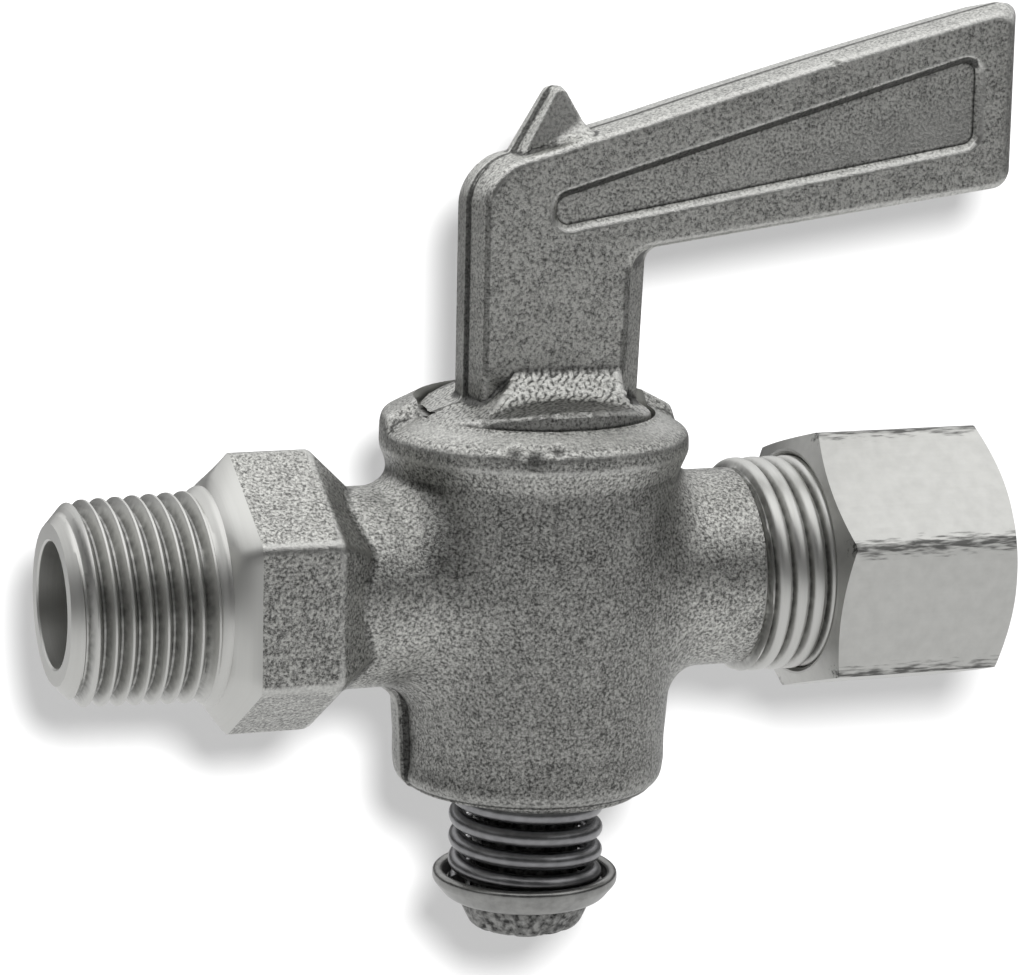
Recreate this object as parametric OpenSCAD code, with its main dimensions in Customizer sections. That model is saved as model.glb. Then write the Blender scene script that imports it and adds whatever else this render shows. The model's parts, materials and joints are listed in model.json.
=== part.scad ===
// Ground-plug shut-off cock: male taper pipe thread to compression tube end, lever handle.
// Millimetres. The origin is the centre of the pipe end's face, +X runs along the pipe axis
// towards the tube end, and +Z runs along the plug axis towards the lever.

/* [Run of the body] */
// Face of the pipe end to the plug axis
pipe_reach = 41.3; // [38:0.1:50]
// Radius of both round necks
neck_r = 8.4; // [7.5:0.1:9]
// Radius of the fillet between each neck and the barrel
neck_flare_r = 2.6; // [1.5:0.1:3.5]
// Radius of the bore at the pipe end
inlet_r = 5.2; // [3.5:0.1:5.8]
// Radius of the round waterway beside the plug
waterway_r = 4.2; // [3:0.1:4.6]

/* [Taper pipe thread] */
// Crest radius at the small end
pipe_thread_r = 8.39; // [8:0.01:9]
// Pitch of the pipe thread
pipe_pitch = 1.411; // [1:0.001:1.9]
// Depth of the pipe thread
pipe_thread_depth = 0.95; // [0.5:0.05:1.2]
// Turns of the pipe thread
pipe_turns = 8; // [4:1:8]
// Length of the chamfer at the pipe end
pipe_chamfer = 1.5; // [0.8:0.1:2]
// Width of the flat face at the pipe end
pipe_face_w = 1.25; // [0.6:0.05:2]

/* [Wrench hexagon of the body] */
// Size across flats
hex_af = 20.8; // [19:0.1:24]
// Plug axis to the inner end of the flats
hex_inner_x = 19.8; // [19:0.1:22]
// Length of the flats
hex_len = 6.9; // [5:0.1:8]
// Length of the bevel between the flats and the neck
hex_bevel = 2.2; // [1:0.1:3]
// Depth of that bevel
hex_bevel_depth = 1.9; // [1:0.1:2.2]
// Length of the turned cone in front of the flats
hex_cone = 1.6; // [1:0.1:2]
// Amount that the hexagon's corners are rounded off
hex_corner_off = 0.2; // [0:0.05:0.6]

/* [Barrel and rim] */
// Radius of the barrel at the pipe axis
barrel_r = 12.1; // [11.5:0.1:14]
// Radius of the barrel at its foot
foot_r = 11.1; // [10.6:0.1:12.5]
// Pipe axis to the underside of the barrel
barrel_depth = 18.4; // [17:0.1:24]
// Radius of the lip round the underside
lip_r = 9.9; // [8.5:0.1:10.3]
// Height of that lip
lip_h = 0.9; // [0.5:0.1:1.5]
// Radius of the rim
rim_r = 13; // [12.9:0.1:15]
// Pipe axis to the top of the rim
rim_top = 14.3; // [14:0.1:17]
// Height of the rim
rim_h = 4.2; // [3:0.1:4.5]
// Depth of the recess in the rim
recess_depth = 1.9; // [1.2:0.1:2.5]

/* [Plug] */
// Radius of the tapered bore at the floor of the recess
taper_top_r = 8; // [7.2:0.1:8.5]
// Radius of the tapered bore at the underside of the barrel
taper_foot_r = 5.2; // [4.9:0.1:5.6]
// Running gap between plug and bore
plug_gap = 0.03; // [0.02:0.01:0.08]
// Half width of the port through the plug
port_r = 3.8; // [2.5:0.1:4]
// Height of the port
port_h = 9.6; // [8.4:0.1:11]
// Radius of the collar
collar_r = 9.8; // [9:0.1:10.2]
// Top of the recess floor to the collar's shoulder
collar_h = 2.9; // [2.4:0.1:4]
// Width of the stop lug, in degrees
lug_angle = 45; // [30:1:70]
// Turn of the lever from open to closed, in degrees
turn_angle = 90; // [90:1:100]
// Radius of the tail below the plug
tail_r = 4.5; // [3.5:0.1:4.6]
// Radius of the riveted end
rivet_r = 5.6; // [5.2:0.1:7]
// Height of the riveted end
rivet_h = 2.7; // [1.5:0.1:4]

/* [Lever] */
// Thickness of the lever
lever_t = 6.3; // [4:0.1:8]
// Width of the land left at the parting plane
lever_land = 0.6; // [0.4:0.1:1.5]
// Draft of the stem's outer side, from the parting plane to each face
lever_draft = 0.7; // [0.2:0.1:1.2]
// Draft of the arm's top and underside
arm_draft = 0.3; // [0.1:0.1:0.8]
// Radius of the corners of the arm's tip
tip_r = 1.6; // [0.5:0.1:2.5]
// Draft of the arm's tip
tip_draft = 1.6; // [0.5:0.1:2.4]
// Draft of the stem's side under the arm
stem_draft = 2.4; // [0.5:0.1:2.4]
// Plug axis to the outer side of the stem, away from the arm
stem_back = 6.5; // [5:0.1:7]
// Plug axis to the side of the stem under the arm
stem_front = 8.9; // [7:0.1:9.4]
// Widening of that side from the stem's foot to the arm
stem_spread = 0.5; // [0:0.1:1]
// Radius of the fillet between the stem and the arm
crotch_r = 1.5; // [0.8:0.1:3]
// Plug axis to the tip of the arm
arm_reach = 43.2; // [30:0.1:60]
// Pipe axis to the arm's underside, at the stem
arm_under = 27.8; // [24:0.1:36]
// Height of the arm's side, at the stem
arm_side = 11.3; // [8:0.1:13]
// Rise of the arm's top edge, in degrees
arm_top_rise = 15.3; // [8:0.1:20]
// Rise of the arm's underside, in degrees
arm_under_rise = 7.7; // [2:0.1:12]
// Plug axis to the blunt end of the panels sunk in the arm's sides
panel_start = 0.6; // [-1:0.1:4]
// Depth of the panels
panel_depth = 0.7; // [0.3:0.1:1.2]
// Width of the frame round the panels
panel_frame = 3.2; // [2:0.1:3.6]
// Extra width of the frame under the panels
panel_lift = 1.3; // [0:0.1:1.5]
// Height of the panels' blunt end
panel_end_h = 2.3; // [2.2:0.1:4]
// Radius of the panels' corners
panel_r = 1; // [0.4:0.1:1.1]
// Height of the fin above the plug axis
fin_h = 5.4; // [3:0.1:8]
// Width of the fin's foot
fin_w = 7.9; // [5:0.1:9]
// Thickness of the fin
fin_t = 2.6; // [1.5:0.1:4]
// Plug axis to the middle of the fin
fin_x = 0.9; // [-1:0.1:3]

/* [Spring and cup washer] */
// Diameter of the spring wire
wire_d = 1.5; // [1.2:0.05:1.6]
// Outer radius of the spring
spring_r = 6.6; // [6.5:0.1:6.8]
// Length of the spring
spring_len = 8.5; // [7.5:0.1:12]
// Turns of the spring
spring_turns = 4.63; // [3:0.01:4.8]
// Outer radius of the cup washer
cup_r = 7.9; // [7.7:0.1:9]
// Height of the cup washer
cup_h = 2.4; // [1.8:0.1:3.5]
// Wall of the cup washer
cup_wall = 0.9; // [0.5:0.1:1]
// Gap round the tail in the cup washer
cup_gap = 0.1; // [0.05:0.01:0.3]

/* [Tube end] */
// Radius of the tube that the end takes
tube_r = 6.35; // [5:0.05:6.5]
// Gap round the tube
tube_gap = 0.1; // [0.05:0.01:0.2]
// Crest radius of the straight thread
thread_r = 9.2; // [9:0.1:9.6]
// Pitch of the straight thread
thread_pitch = 1.6; // [1:0.1:2]
// Depth of the straight thread
thread_depth = 0.9; // [0.5:0.05:1]
// Plug axis to the start of the straight thread
thread_start = 18.2; // [17:0.1:20]
// Length of the straight thread
thread_len = 15.3; // [13:0.1:16]
// Depth of the tube socket in the body
socket_depth = 9; // [6:0.1:10]
// Gap between the body's thread and the nut
nut_gap = 0.05; // [0.03:0.01:0.1]
// Size of the nut across flats
nut_af = 21; // [20.6:0.1:24]
// Length of the nut
nut_len = 17.1; // [15.5:0.1:19]
// Wall of the nut behind the sleeve
nut_wall = 2.6; // [1.5:0.1:3]
// Turn of the nut's hexagon from having a flat in front, in degrees
nut_turn = 13.4; // [0:0.1:60]
// Length of the chamfer at both ends of the nut's corners
nut_chamfer = 0.95; // [0.3:0.05:1.5]
// Thickness of the sleeve at its middle
sleeve_t = 1.45; // [0.8:0.05:2]
// Length of the sleeve
sleeve_len = 6.4; // [5:0.1:9]

/* [Hidden] */
$fn = 96;
eps = 0.01;
corner_steps = 6;
cut = 60; // longer than any cut through the model

// Heights, from the pipe axis
recess_floor = rim_top - recess_depth;
foot_z = -barrel_depth;
cup_floor = foot_z - spring_len;
rivet_top = cup_floor - cup_wall;
rivet_foot = rivet_top - rivet_h;
collar_top = recess_floor + collar_h;
collar_lift = 0.4; // the plug hangs on its taper, so the collar stays off the recess floor
collar_foot = recess_floor + collar_lift;
collar_round = 1;
stem_foot = collar_top + 1.8;

// Radii that seat or clear one another
recess_r = collar_r + 0.35;
lug_inner_r = taper_top_r + 0.3;
cone_slope = (taper_top_r - taper_foot_r) / (recess_floor - foot_z);
plug_foot_z = foot_z + 1;
plug_foot_r = taper_foot_r + cone_slope * (plug_foot_z - foot_z) - plug_gap;
stop_gap = 1; // degrees left at each stop
socket_r = tube_r + tube_gap;
hex_corner_r = hex_af / 2 / cos(30) - hex_corner_off;
hex_outer_x = hex_inner_x + hex_len;
nut_corner_r = nut_af / 2 / cos(30);
nut_bore_r = thread_r + nut_gap;
flare_turn = 55; // degrees of the fillet between each neck and the barrel
flare_end_r = neck_r + neck_flare_r * (1 - cos(flare_turn));
body_end_x = thread_start + thread_len;

// Taper pipe thread: 1 in 16 on diameter
pipe_taper = 1 / 32;
pipe_lead = 0.6; // from the chamfer to the first crest
pipe_first_x = -pipe_reach + pipe_chamfer + pipe_lead;
pipe_last_x = pipe_first_x + pipe_turns * pipe_pitch;
pipe_root_r = pipe_thread_r - pipe_thread_depth;
pipe_last_r = pipe_thread_r + pipe_taper * (pipe_last_x - pipe_first_x);
shank_r = pipe_last_r + 0.35; // plain part between the thread and the hexagon

// Sleeve between the flat step in the body's mouth and the flat floor of the nut
seat_depth = 1.5;
sleeve_edge = 0.4;
sleeve_gap = 0.3;
mouth_r = socket_r + sleeve_edge + 0.7;
sleeve_x0 = body_end_x - seat_depth;
sleeve_x1 = sleeve_x0 + sleeve_len;
nut_outer_x = sleeve_x1 + nut_wall;
nut_inner_x = nut_outer_x - nut_len;

function unit(v) = v / norm(v);
function turn_of(v) = atan2(v[1], v[0]);
function short_way(a) = a > 180 ? a - 360 : a < -180 ? a + 360 : a;

// Points of an arc about centre c, from angle a0 to a1
function arc(c, r, a0, a1, n = corner_steps) =
    [for (i = [0:n]) c + r * [cos(a0 + (a1 - a0) * i / n), sin(a0 + (a1 - a0) * i / n)]];

// Points that round the corner at p, between its neighbours before and after
function corner(before, p, after, r) =
    let (u = unit(before - p), v = unit(after - p), half = acos(u * v) / 2)
    let (c = p + unit(u + v) * r / sin(half), d = r / tan(half))
    let (a0 = turn_of(p + u * d - c), sweep = short_way(turn_of(p + v * d - c) - a0))
    arc(c, r, a0, a0 + sweep);

// An outline with each corner rounded to its own radius, 0 for a sharp one
function rounded(pts, radii) =
    let (n = len(pts))
    [for (i = [0:n - 1]) each
        radii[i] == 0 ? [pts[i]] : corner(pts[(i + n - 1) % n], pts[i], pts[(i + 1) % n], radii[i])];

// Crests and roots of a thread from x0, as rings, with a radius that grows by taper
function thread(x0, turns, pitch, r, depth, taper = 0) =
    [for (i = [0:turns - 1], k = [0:3])
        let (x = x0 + pitch * (i + [0, 0.12, 0.5, 0.62][k]))
        [x, r + taper * (x - x0) - (k < 2 ? 0 : depth)]];

// The outline of a neck's fillet, from the neck at -x into the barrel
function neck_flare() =
    arc([-barrel_r - 0.6 * neck_flare_r, neck_r + neck_flare_r], neck_flare_r,
        -90, flare_turn - 90);

// An outline of [place along X, radius] seen from the other end
function other_way(pts) = [for (i = [len(pts) - 1:-1:0]) [-pts[i][0], pts[i][1]]];

// Turns an outline of [place along X, radius] about the X axis
module turned_x(pts) {
    rotate([0, 90, 0]) rotate_extrude() polygon([for (p = pts) [p[1], p[0]]]);
}

// Places an outline drawn in X and Z as a plate of thickness t about the XZ plane
module plate(t) {
    rotate([90, 0, 0]) translate([0, 0, -t / 2]) linear_extrude(t) children();
}

// A six-sided bar along X whose half width follows an outline of [place along X, half width]
module six_sided(pts) {
    intersection_for (k = [0:2])
        rotate([k * 60, 0, 0]) plate_of_outline(pts);
}

module plate_of_outline(pts) {
    n = len(pts);
    mirrored = [for (i = [n - 1:-1:0]) [pts[i][0], -pts[i][1]]];
    translate([0, 0, -cut / 2]) linear_extrude(cut) polygon(concat(pts, mirrored));
}

// ---------------------------------------------------------------- valve body

module barrel() {
    foot_taper = 5; // height over which the foot keeps its radius
    rim_step = 1.2; // height of the slope under the rim
    rim_foot = rim_top - rim_h;
    outline = rounded(
        [[0, foot_z], [lip_r, foot_z], [lip_r, foot_z + lip_h], [foot_r, foot_z + lip_h],
         [foot_r, foot_z + foot_taper], [barrel_r, 0], [barrel_r, rim_foot],
         [rim_r, rim_foot + rim_step], [rim_r, rim_top], [0, rim_top]],
        [0, 0.2, 0, 1.1, 4, 6, 0.8, 0.8, 1.4, 0]);
    rotate_extrude() polygon(outline);
}

// The pipe thread, its chamfers and the pipe neck, which flares into the barrel
module pipe_run() {
    crest_back = 0.15; // the chamfers end this far under the first crest
    cone_x = -hex_outer_x - hex_cone;
    turned_x(concat(
        [[0, 0], [-pipe_reach, 0], [-pipe_reach, inlet_r + pipe_face_w],
         [-pipe_reach + pipe_chamfer, pipe_thread_r - crest_back],
         [pipe_first_x - pipe_lead / 2, pipe_thread_r - crest_back]],
        thread(pipe_first_x, pipe_turns, pipe_pitch, pipe_thread_r, pipe_thread_depth, pipe_taper),
        [[pipe_last_x, pipe_last_r], [max(cone_x, pipe_last_x + eps), shank_r],
         [-hex_outer_x, shank_r], [-hex_inner_x, neck_r]],
        neck_flare(), [[0, flare_end_r]]));
}

// Hexagon with flats to the front and back, a turned cone outside and a forged bevel inside
module wrench_hex() {
    half = hex_af / 2;
    cone_x = -hex_outer_x - hex_cone;
    intersection() {
        six_sided([[cone_x, half], [-hex_inner_x, half],
                   [-hex_inner_x + hex_bevel, half - hex_bevel_depth]]);
        turned_x([[cone_x, 0], [cone_x, shank_r], [-hex_outer_x, hex_corner_r],
                  [0, hex_corner_r], [0, 0]]);
    }
}

module tube_run() {
    lead = 0.9; // from the neck to the first full crest
    chamfer = 0.8;
    turns = floor((thread_len - lead - chamfer - 0.7) / thread_pitch);
    first = thread_start + lead;
    turned_x(concat(
        [[0, 0], [0, flare_end_r]], other_way(neck_flare()),
        [[thread_start, neck_r], [first - 0.2, thread_r - 0.2]],
        thread(first, turns, thread_pitch, thread_r, thread_depth),
        [[first + turns * thread_pitch, thread_r], [body_end_x - chamfer, thread_r - 0.1],
         [body_end_x, thread_r - thread_depth], [body_end_x, 0]]));
}

// Recess for the plug's collar, tapered bore, waterway and tube socket
module body_cuts() {
    translate([0, 0, recess_floor]) cylinder(h = recess_depth + eps, r = recess_r);
    translate([0, 0, foot_z])
        cylinder(h = recess_floor - foot_z + eps, r1 = taper_foot_r, r2 = taper_top_r);
    translate([0, 0, foot_z - eps]) cylinder(h = 2 * eps, r = taper_foot_r);
    translate([-pipe_reach - eps, 0, 0]) rotate([0, 90, 0]) {
        cylinder(h = pipe_reach + barrel_r, r = waterway_r);
        cylinder(h = pipe_reach - barrel_r + eps, r = inlet_r);
    }
    socket_x = body_end_x - socket_depth;
    translate([barrel_r - eps, 0, 0]) rotate([0, 90, 0])
        cylinder(h = socket_x - barrel_r + 2 * eps, r = waterway_r);
    translate([socket_x, 0, 0]) rotate([0, 90, 0]) cylinder(h = socket_depth + eps, r = socket_r);
    turned_x([[sleeve_x0, 0], [sleeve_x0, mouth_r - 0.5], [body_end_x + eps, mouth_r],
              [body_end_x + eps, 0]]);
}

// Lug in the recess that stops the plug at each end of its turn
module stop_lug() {
    sunk = 0.2; // reach into the floor and wall of the recess
    rotate([0, 0, 180 - lug_angle]) rotate_extrude(angle = lug_angle)
        polygon([[lug_inner_r, recess_floor - sunk], [recess_r + sunk, recess_floor - sunk],
                 [recess_r + sunk, rim_top], [lug_inner_r, rim_top]]);
}

module valve_body() {
    color("#8f8f8d") translate([pipe_reach, 0, 0]) {
        difference() {
            union() {
                barrel();
                pipe_run();
                wrench_hex();
                tube_run();
            }
            body_cuts();
        }
        stop_lug();
    }
}

// ---------------------------------------------------------------- plug and lever

// Tapered plug, collar, tail and riveted end, all turned about the plug axis
module plug_turning() {
    plug_top_r = taper_top_r - plug_gap;
    rivet_edge = 0.9;
    outline = concat(
        rounded([[0, rivet_foot], [rivet_r - rivet_edge, rivet_foot],
                 [rivet_r, rivet_foot + 2 * rivet_edge], [rivet_r, rivet_top]], [0, 1.3, 0, 0]),
        [[tail_r, rivet_top], [tail_r, plug_foot_z], [plug_foot_r, plug_foot_z],
         [plug_top_r, recess_floor], [plug_top_r, collar_foot], [collar_r, collar_foot]],
        arc([collar_r - collar_round, collar_top - collar_round], collar_round, 0, 60),
        [[lever_t / 2, stem_foot], [0, stem_foot]]);
    rotate_extrude() polygon(outline);
}

// The collar is cut away where the body's lug stands, over the turn of the lever
module lug_way() {
    from = 180 - lug_angle - turn_angle - stop_gap;
    sweep = lug_angle + turn_angle + 2 * stop_gap;
    foot = collar_foot - eps;
    roof = rim_top + collar_lift;
    rotate([0, 0, from]) rotate_extrude(angle = sweep)
        polygon([[taper_top_r, foot], [collar_r + 1, foot], [collar_r + 1, roof], [taper_top_r, roof]]);
}

// Round-ended slot, taller than it is wide
module port() {
    reach = 2 * taper_top_r;
    rise = port_h / 2 - port_r;
    for (z = [-rise, rise])
        translate([-reach / 2, 0, z]) rotate([0, 90, 0]) cylinder(h = reach, r = port_r);
    translate([-reach / 2, -port_r, -rise]) cube([reach, 2 * port_r, 2 * rise]);
}

// Edges of the arm, at the parting plane
function top_edge(x) = arm_under + arm_side + (x - stem_front) * tan(arm_top_rise);
function under_edge(x) = arm_under + (x - stem_front) * tan(arm_under_rise);

// Outlines of the stem and the arm at a draft d, which is 0 at the parting plane and 1 at a face
function stem_outline(d) =
    let (x0 = -stem_back + lever_draft * d, x1 = stem_front - stem_draft * d, low = collar_top - 1.2)
    rounded([[x0, low], [x0, top_edge(x0) - arm_draft * d],
             [x1 + stem_spread, top_edge(x1 + stem_spread) - arm_draft * d],
             [x1 + stem_spread, arm_under], [x1, low]], [0, 3.2, 0, 0, 0]);
function arm_outline(d) =
    let (x0 = -stem_back + lever_draft * d + 3.3, x1 = arm_reach - tip_draft * d)
    rounded([[x0, under_edge(x0)], [x0, top_edge(x0) - arm_draft * d],
             [x1, top_edge(x1) - arm_draft * d], [x1, under_edge(x1) + arm_draft * d],
             [stem_front, under_edge(stem_front) + arm_draft * d]], [0, 0, tip_r, tip_r, 0]);

// Widest at the parting plane, so that the dies draw off it
module drafted(outline_at_land, outline_at_face) {
    hull() {
        plate(lever_land) polygon(outline_at_land);
        plate(lever_t) polygon(outline_at_face);
    }
}

// Fillet under the arm, where it meets the stem
module crotch() {
    x = stem_front + stem_spread + crotch_r;
    plate(lever_t / 2) polygon(concat(
        [[stem_front - 1, arm_under - 2 * crotch_r], [stem_front - 1, arm_under + 1],
         [x, under_edge(x) + 1]],
        arc([x, under_edge(x) - crotch_r], crotch_r, 90, 175)));
}

module lever_blank() {
    drafted(stem_outline(0), stem_outline(1));
    drafted(arm_outline(0), arm_outline(1));
    crotch();
}

// The sunk panel follows the arm's edges at the width of its frame
module panel_outline() {
    x1 = arm_reach - tip_draft - panel_frame;
    mid = (top_edge(panel_start) + under_edge(panel_start) - panel_lift) / 2;
    polygon(rounded(
        [[panel_start, mid + panel_end_h / 2], [x1, top_edge(x1) - arm_draft - panel_frame],
         [x1, under_edge(x1) + panel_frame + panel_lift], [panel_start, mid - panel_end_h / 2]],
        [panel_r, panel_r, panel_r, panel_r]));
}

// Triangular pointer on the lever's top edge
module fin() {
    x0 = fin_x - fin_w / 2;
    x1 = fin_x + fin_w / 2 - 0.5;
    sunk = 1 + arm_draft;
    tip = top_edge(fin_x) - arm_draft + fin_h;
    plate(fin_t) polygon(rounded(
        [[x0, top_edge(x0) - sunk], [fin_x, tip], [x1, top_edge(x1) - sunk]], [0, 0.9, 0]));
}

module plug_lever() {
    color("#858583") translate([pipe_reach, 0, 0]) {
        difference() {
            union() {
                difference() {
                    plug_turning();
                    lug_way();
                }
                lever_blank();
                fin();
            }
            port();
            for (side = [-1, 1])
                translate([0, side * lever_t / 2, 0]) plate(2 * panel_depth) panel_outline();
        }
    }
}

// ---------------------------------------------------------------- spring and washer

// Left-hand coil with both ends ground flat
module plug_spring() {
    sides = 10;
    per_turn = 20;
    rings = round(spring_turns * per_turn);
    mean_r = spring_r - wire_d / 2;
    grind = wire_d / 8;
    start_angle = 167;
    function ring(i) =
        let (a = start_angle + 360 * spring_turns * i / rings)
        let (z = foot_z - grind - (spring_len - 2 * grind) * i / rings)
        [for (k = [0:sides - 1])
            let (r = mean_r + wire_d / 2 * cos(360 * (k + 0.5) / sides))
            [r * cos(a), r * sin(a),
             max(cup_floor, min(foot_z, z + wire_d / 2 * sin(360 * (k + 0.5) / sides)))]];
    points = [for (i = [0:rings]) each ring(i)];
    skin = [for (i = [0:rings - 1], k = [0:sides - 1])
        let (a = i * sides + k, b = i * sides + (k + 1) % sides)
        [a, a + sides, b + sides, b]];
    first_cap = [for (k = [0:sides - 1]) k];
    last_cap = [for (k = [sides - 1:-1:0]) rings * sides + k];
    color("#6f7073") translate([pipe_reach, 0, 0])
        polyhedron(points, concat([first_cap], skin, [last_cap]), convexity = 8);
}

module cup_washer() {
    hole_r = tail_r + cup_gap;
    flare = 1.2; // the cup widens by this much above its floor
    edge_round = 0.3;
    outline = rounded(
        [[hole_r, rivet_top], [cup_r - flare, rivet_top], [cup_r, rivet_top + flare + 0.3],
         [cup_r, rivet_top + cup_h], [cup_r - cup_wall, rivet_top + cup_h],
         [cup_r - cup_wall, cup_floor], [hole_r, cup_floor]],
        [0, 1.3, 0.6, edge_round, edge_round, edge_round, 0]);
    color("#8d8d8b") translate([pipe_reach, 0, 0]) rotate_extrude() polygon(outline);
}

// ---------------------------------------------------------------- tube end

module sleeve() {
    middle = (sleeve_x0 + sleeve_x1) / 2;
    land = 0.9; // half the length of the thick middle
    edge_r = socket_r + sleeve_edge;
    color("#a9a8a5") translate([pipe_reach, 0, 0]) turned_x(
        [[sleeve_x0, socket_r], [sleeve_x0, edge_r], [middle - land, socket_r + sleeve_t],
         [middle + land, socket_r + sleeve_t], [sleeve_x1, edge_r], [sleeve_x1, socket_r]]);
}

module tube_nut() {
    face_r = nut_af / 2 - 0.75; // where the chamfers start on the end faces
    color("#b9b9b6") translate([pipe_reach, 0, 0]) difference() {
        intersection() {
            rotate([nut_turn, 0, 0]) six_sided([[nut_inner_x, nut_af / 2], [nut_outer_x, nut_af / 2]]);
            turned_x([[nut_inner_x, 0], [nut_inner_x, face_r],
                      [nut_inner_x + nut_chamfer, nut_corner_r],
                      [nut_outer_x - 1.5 * nut_chamfer, nut_corner_r],
                      [nut_outer_x, face_r - 0.3], [nut_outer_x, 0]]);
        }
        turned_x([[nut_inner_x - eps, 0], [nut_inner_x - eps, nut_bore_r + sleeve_gap],
                  [nut_inner_x + sleeve_gap, nut_bore_r], [body_end_x + 2, nut_bore_r],
                  [sleeve_x1, socket_r + sleeve_edge + sleeve_gap], [sleeve_x1, 0]]);
        translate([sleeve_x1 - eps, 0, 0]) rotate([0, 90, 0])
            cylinder(h = nut_wall + 2 * eps, r = socket_r);
    }
}

valve_body();
plug_lever();
plug_spring();
cup_washer();
sleeve();
tube_nut();
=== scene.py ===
import json
import math

import bmesh
import bpy
import numpy as np
from bpy.props import FloatProperty, FloatVectorProperty, PointerProperty
from mathutils import Matrix, Vector
from mathutils.bvhtree import BVHTree

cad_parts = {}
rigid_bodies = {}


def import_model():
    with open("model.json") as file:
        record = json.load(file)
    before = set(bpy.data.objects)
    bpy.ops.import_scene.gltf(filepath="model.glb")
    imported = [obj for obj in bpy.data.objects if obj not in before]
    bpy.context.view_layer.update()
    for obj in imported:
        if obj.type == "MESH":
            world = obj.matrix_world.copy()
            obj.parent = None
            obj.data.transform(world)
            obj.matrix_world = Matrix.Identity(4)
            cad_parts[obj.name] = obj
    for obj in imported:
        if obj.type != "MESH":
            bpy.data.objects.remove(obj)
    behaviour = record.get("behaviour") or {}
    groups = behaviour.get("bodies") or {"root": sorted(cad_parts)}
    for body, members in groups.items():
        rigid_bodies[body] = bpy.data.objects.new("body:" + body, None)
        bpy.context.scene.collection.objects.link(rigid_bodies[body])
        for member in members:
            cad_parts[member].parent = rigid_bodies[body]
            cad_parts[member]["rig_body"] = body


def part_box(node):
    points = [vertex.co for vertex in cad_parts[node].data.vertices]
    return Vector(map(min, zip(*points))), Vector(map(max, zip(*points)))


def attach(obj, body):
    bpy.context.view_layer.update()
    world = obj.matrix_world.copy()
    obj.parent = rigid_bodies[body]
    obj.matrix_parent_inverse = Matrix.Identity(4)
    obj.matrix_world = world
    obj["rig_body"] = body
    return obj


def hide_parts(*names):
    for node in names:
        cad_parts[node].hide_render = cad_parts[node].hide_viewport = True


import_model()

bl_info = {
    "name": "Ground-Plug Shut-Off Cock",
    "version": (1, 0, 0),
    "blender": (4, 5, 0),
    "location": "3D View > Sidebar > Cock",
    "description": "Dresses the CAD frame of a lever-handled brass shut-off cock",
    "category": "Object",
}

# ---------------------------------------------------------------- places, in millimetres
# The pieces are drawn in millimetres about the point where the plug axis crosses the pipe axis,
# and finish_piece puts them in the frame. X runs to the tube end, Z up the plug, Y to the back.

CUP_LOW, CUP_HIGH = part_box("cup_washer")
SPRING_LOW, SPRING_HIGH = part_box("plug_spring")
PLUG_X = (CUP_LOW.x + CUP_HIGH.x) / 2 * 1000
TO_FRAME = Matrix.Scale(0.001, 4) @ Matrix.Translation((PLUG_X, 0, 0))

FOOT_Z = SPRING_HIGH.z * 1000  # foot of the barrel, where the spring bears
CUP_FLOOR_Z = SPRING_LOW.z * 1000
CUP_FOOT_Z = CUP_LOW.z * 1000
CUP_TOP_Z = CUP_HIGH.z * 1000
RIVET_FOOT_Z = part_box("plug_lever")[0].z * 1000
FLASH = 0.6  # how far the forging runs past the foot before it is faced
RIM_TOP_Z = 14.3  # front half of the rim
RIM_STEP = 1.15  # how much higher the rear half stands
LIP_TOP_Z = FOOT_Z + 0.9  # the faced lip round the spring, off centre by LIP_OFFSET
LIP_R = 8.7
LIP_OFFSET = 1.1
RECESS_FLOOR_Z = 12.4  # the recess in the rim, which takes the collar and the stop lug
RECESS_R = 10.15
LUG_R = 8.3  # inside of the stop lug
LUG_FIRST, LUG_LAST = 135, 180  # degrees about the plug axis
BORE_TOP_R, BORE_FOOT_R = 8.0, 5.2  # taper bore at the recess's floor and at the foot
PLUG_GAP = 0.03  # between the plug and its bore at the top
COLLAR_FOOT_Z = 12.8
COLLAR_R = 9.8
NECK_R = 8.4
NECK_MIDDLE_X, NECK_REACH = -4.0, 22.3  # the necks' middle, and how far they run to both sides
INLET_R = 5.2
INLET_END_X = -12.1  # where the inlet narrows to the waterway
WATERWAY_R = 4.2
SOCKET_R = 6.45  # takes the tube
SOCKET_X = 24.5
BODY_END_X = 33.5
PIPE_END_X = -PLUG_X
HEX_HALF = 10.4
HEX_STOCK = 0.9  # left on the hexagon's outer face for the cut that turns it flat
HEX_OUTER_X = -26.6
HEX_INNER_X = -19.8
BEVEL_RUN, BEVEL_FALL = 2.2, 1.9  # of the hexagon's inner face, along and across the pipe
HEX_POWER = 50  # rounds the hexagon's corners to about 1.3 mm
SHANK_R = 9.05
SHANK_X = -28.55
TUBE_THREAD_X = 18.2
LEVER_HALF_T = 3.15
TIP_X = 43.2  # end of the arm


def mm(metres):
    """Metres of a property in millimetres."""
    return metres * 1000


def linear(code):
    """An sRGB hex colour as linear red, green, blue and 1."""
    parts = [int(code[i:i + 2], 16) / 255 for i in (1, 3, 5)]
    return tuple(p / 12.92 if p <= 0.04045 else ((p + 0.055) / 1.055) ** 2.4 for p in parts) + (1.0,)


# ---------------------------------------------------------------- sizes and colours

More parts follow.
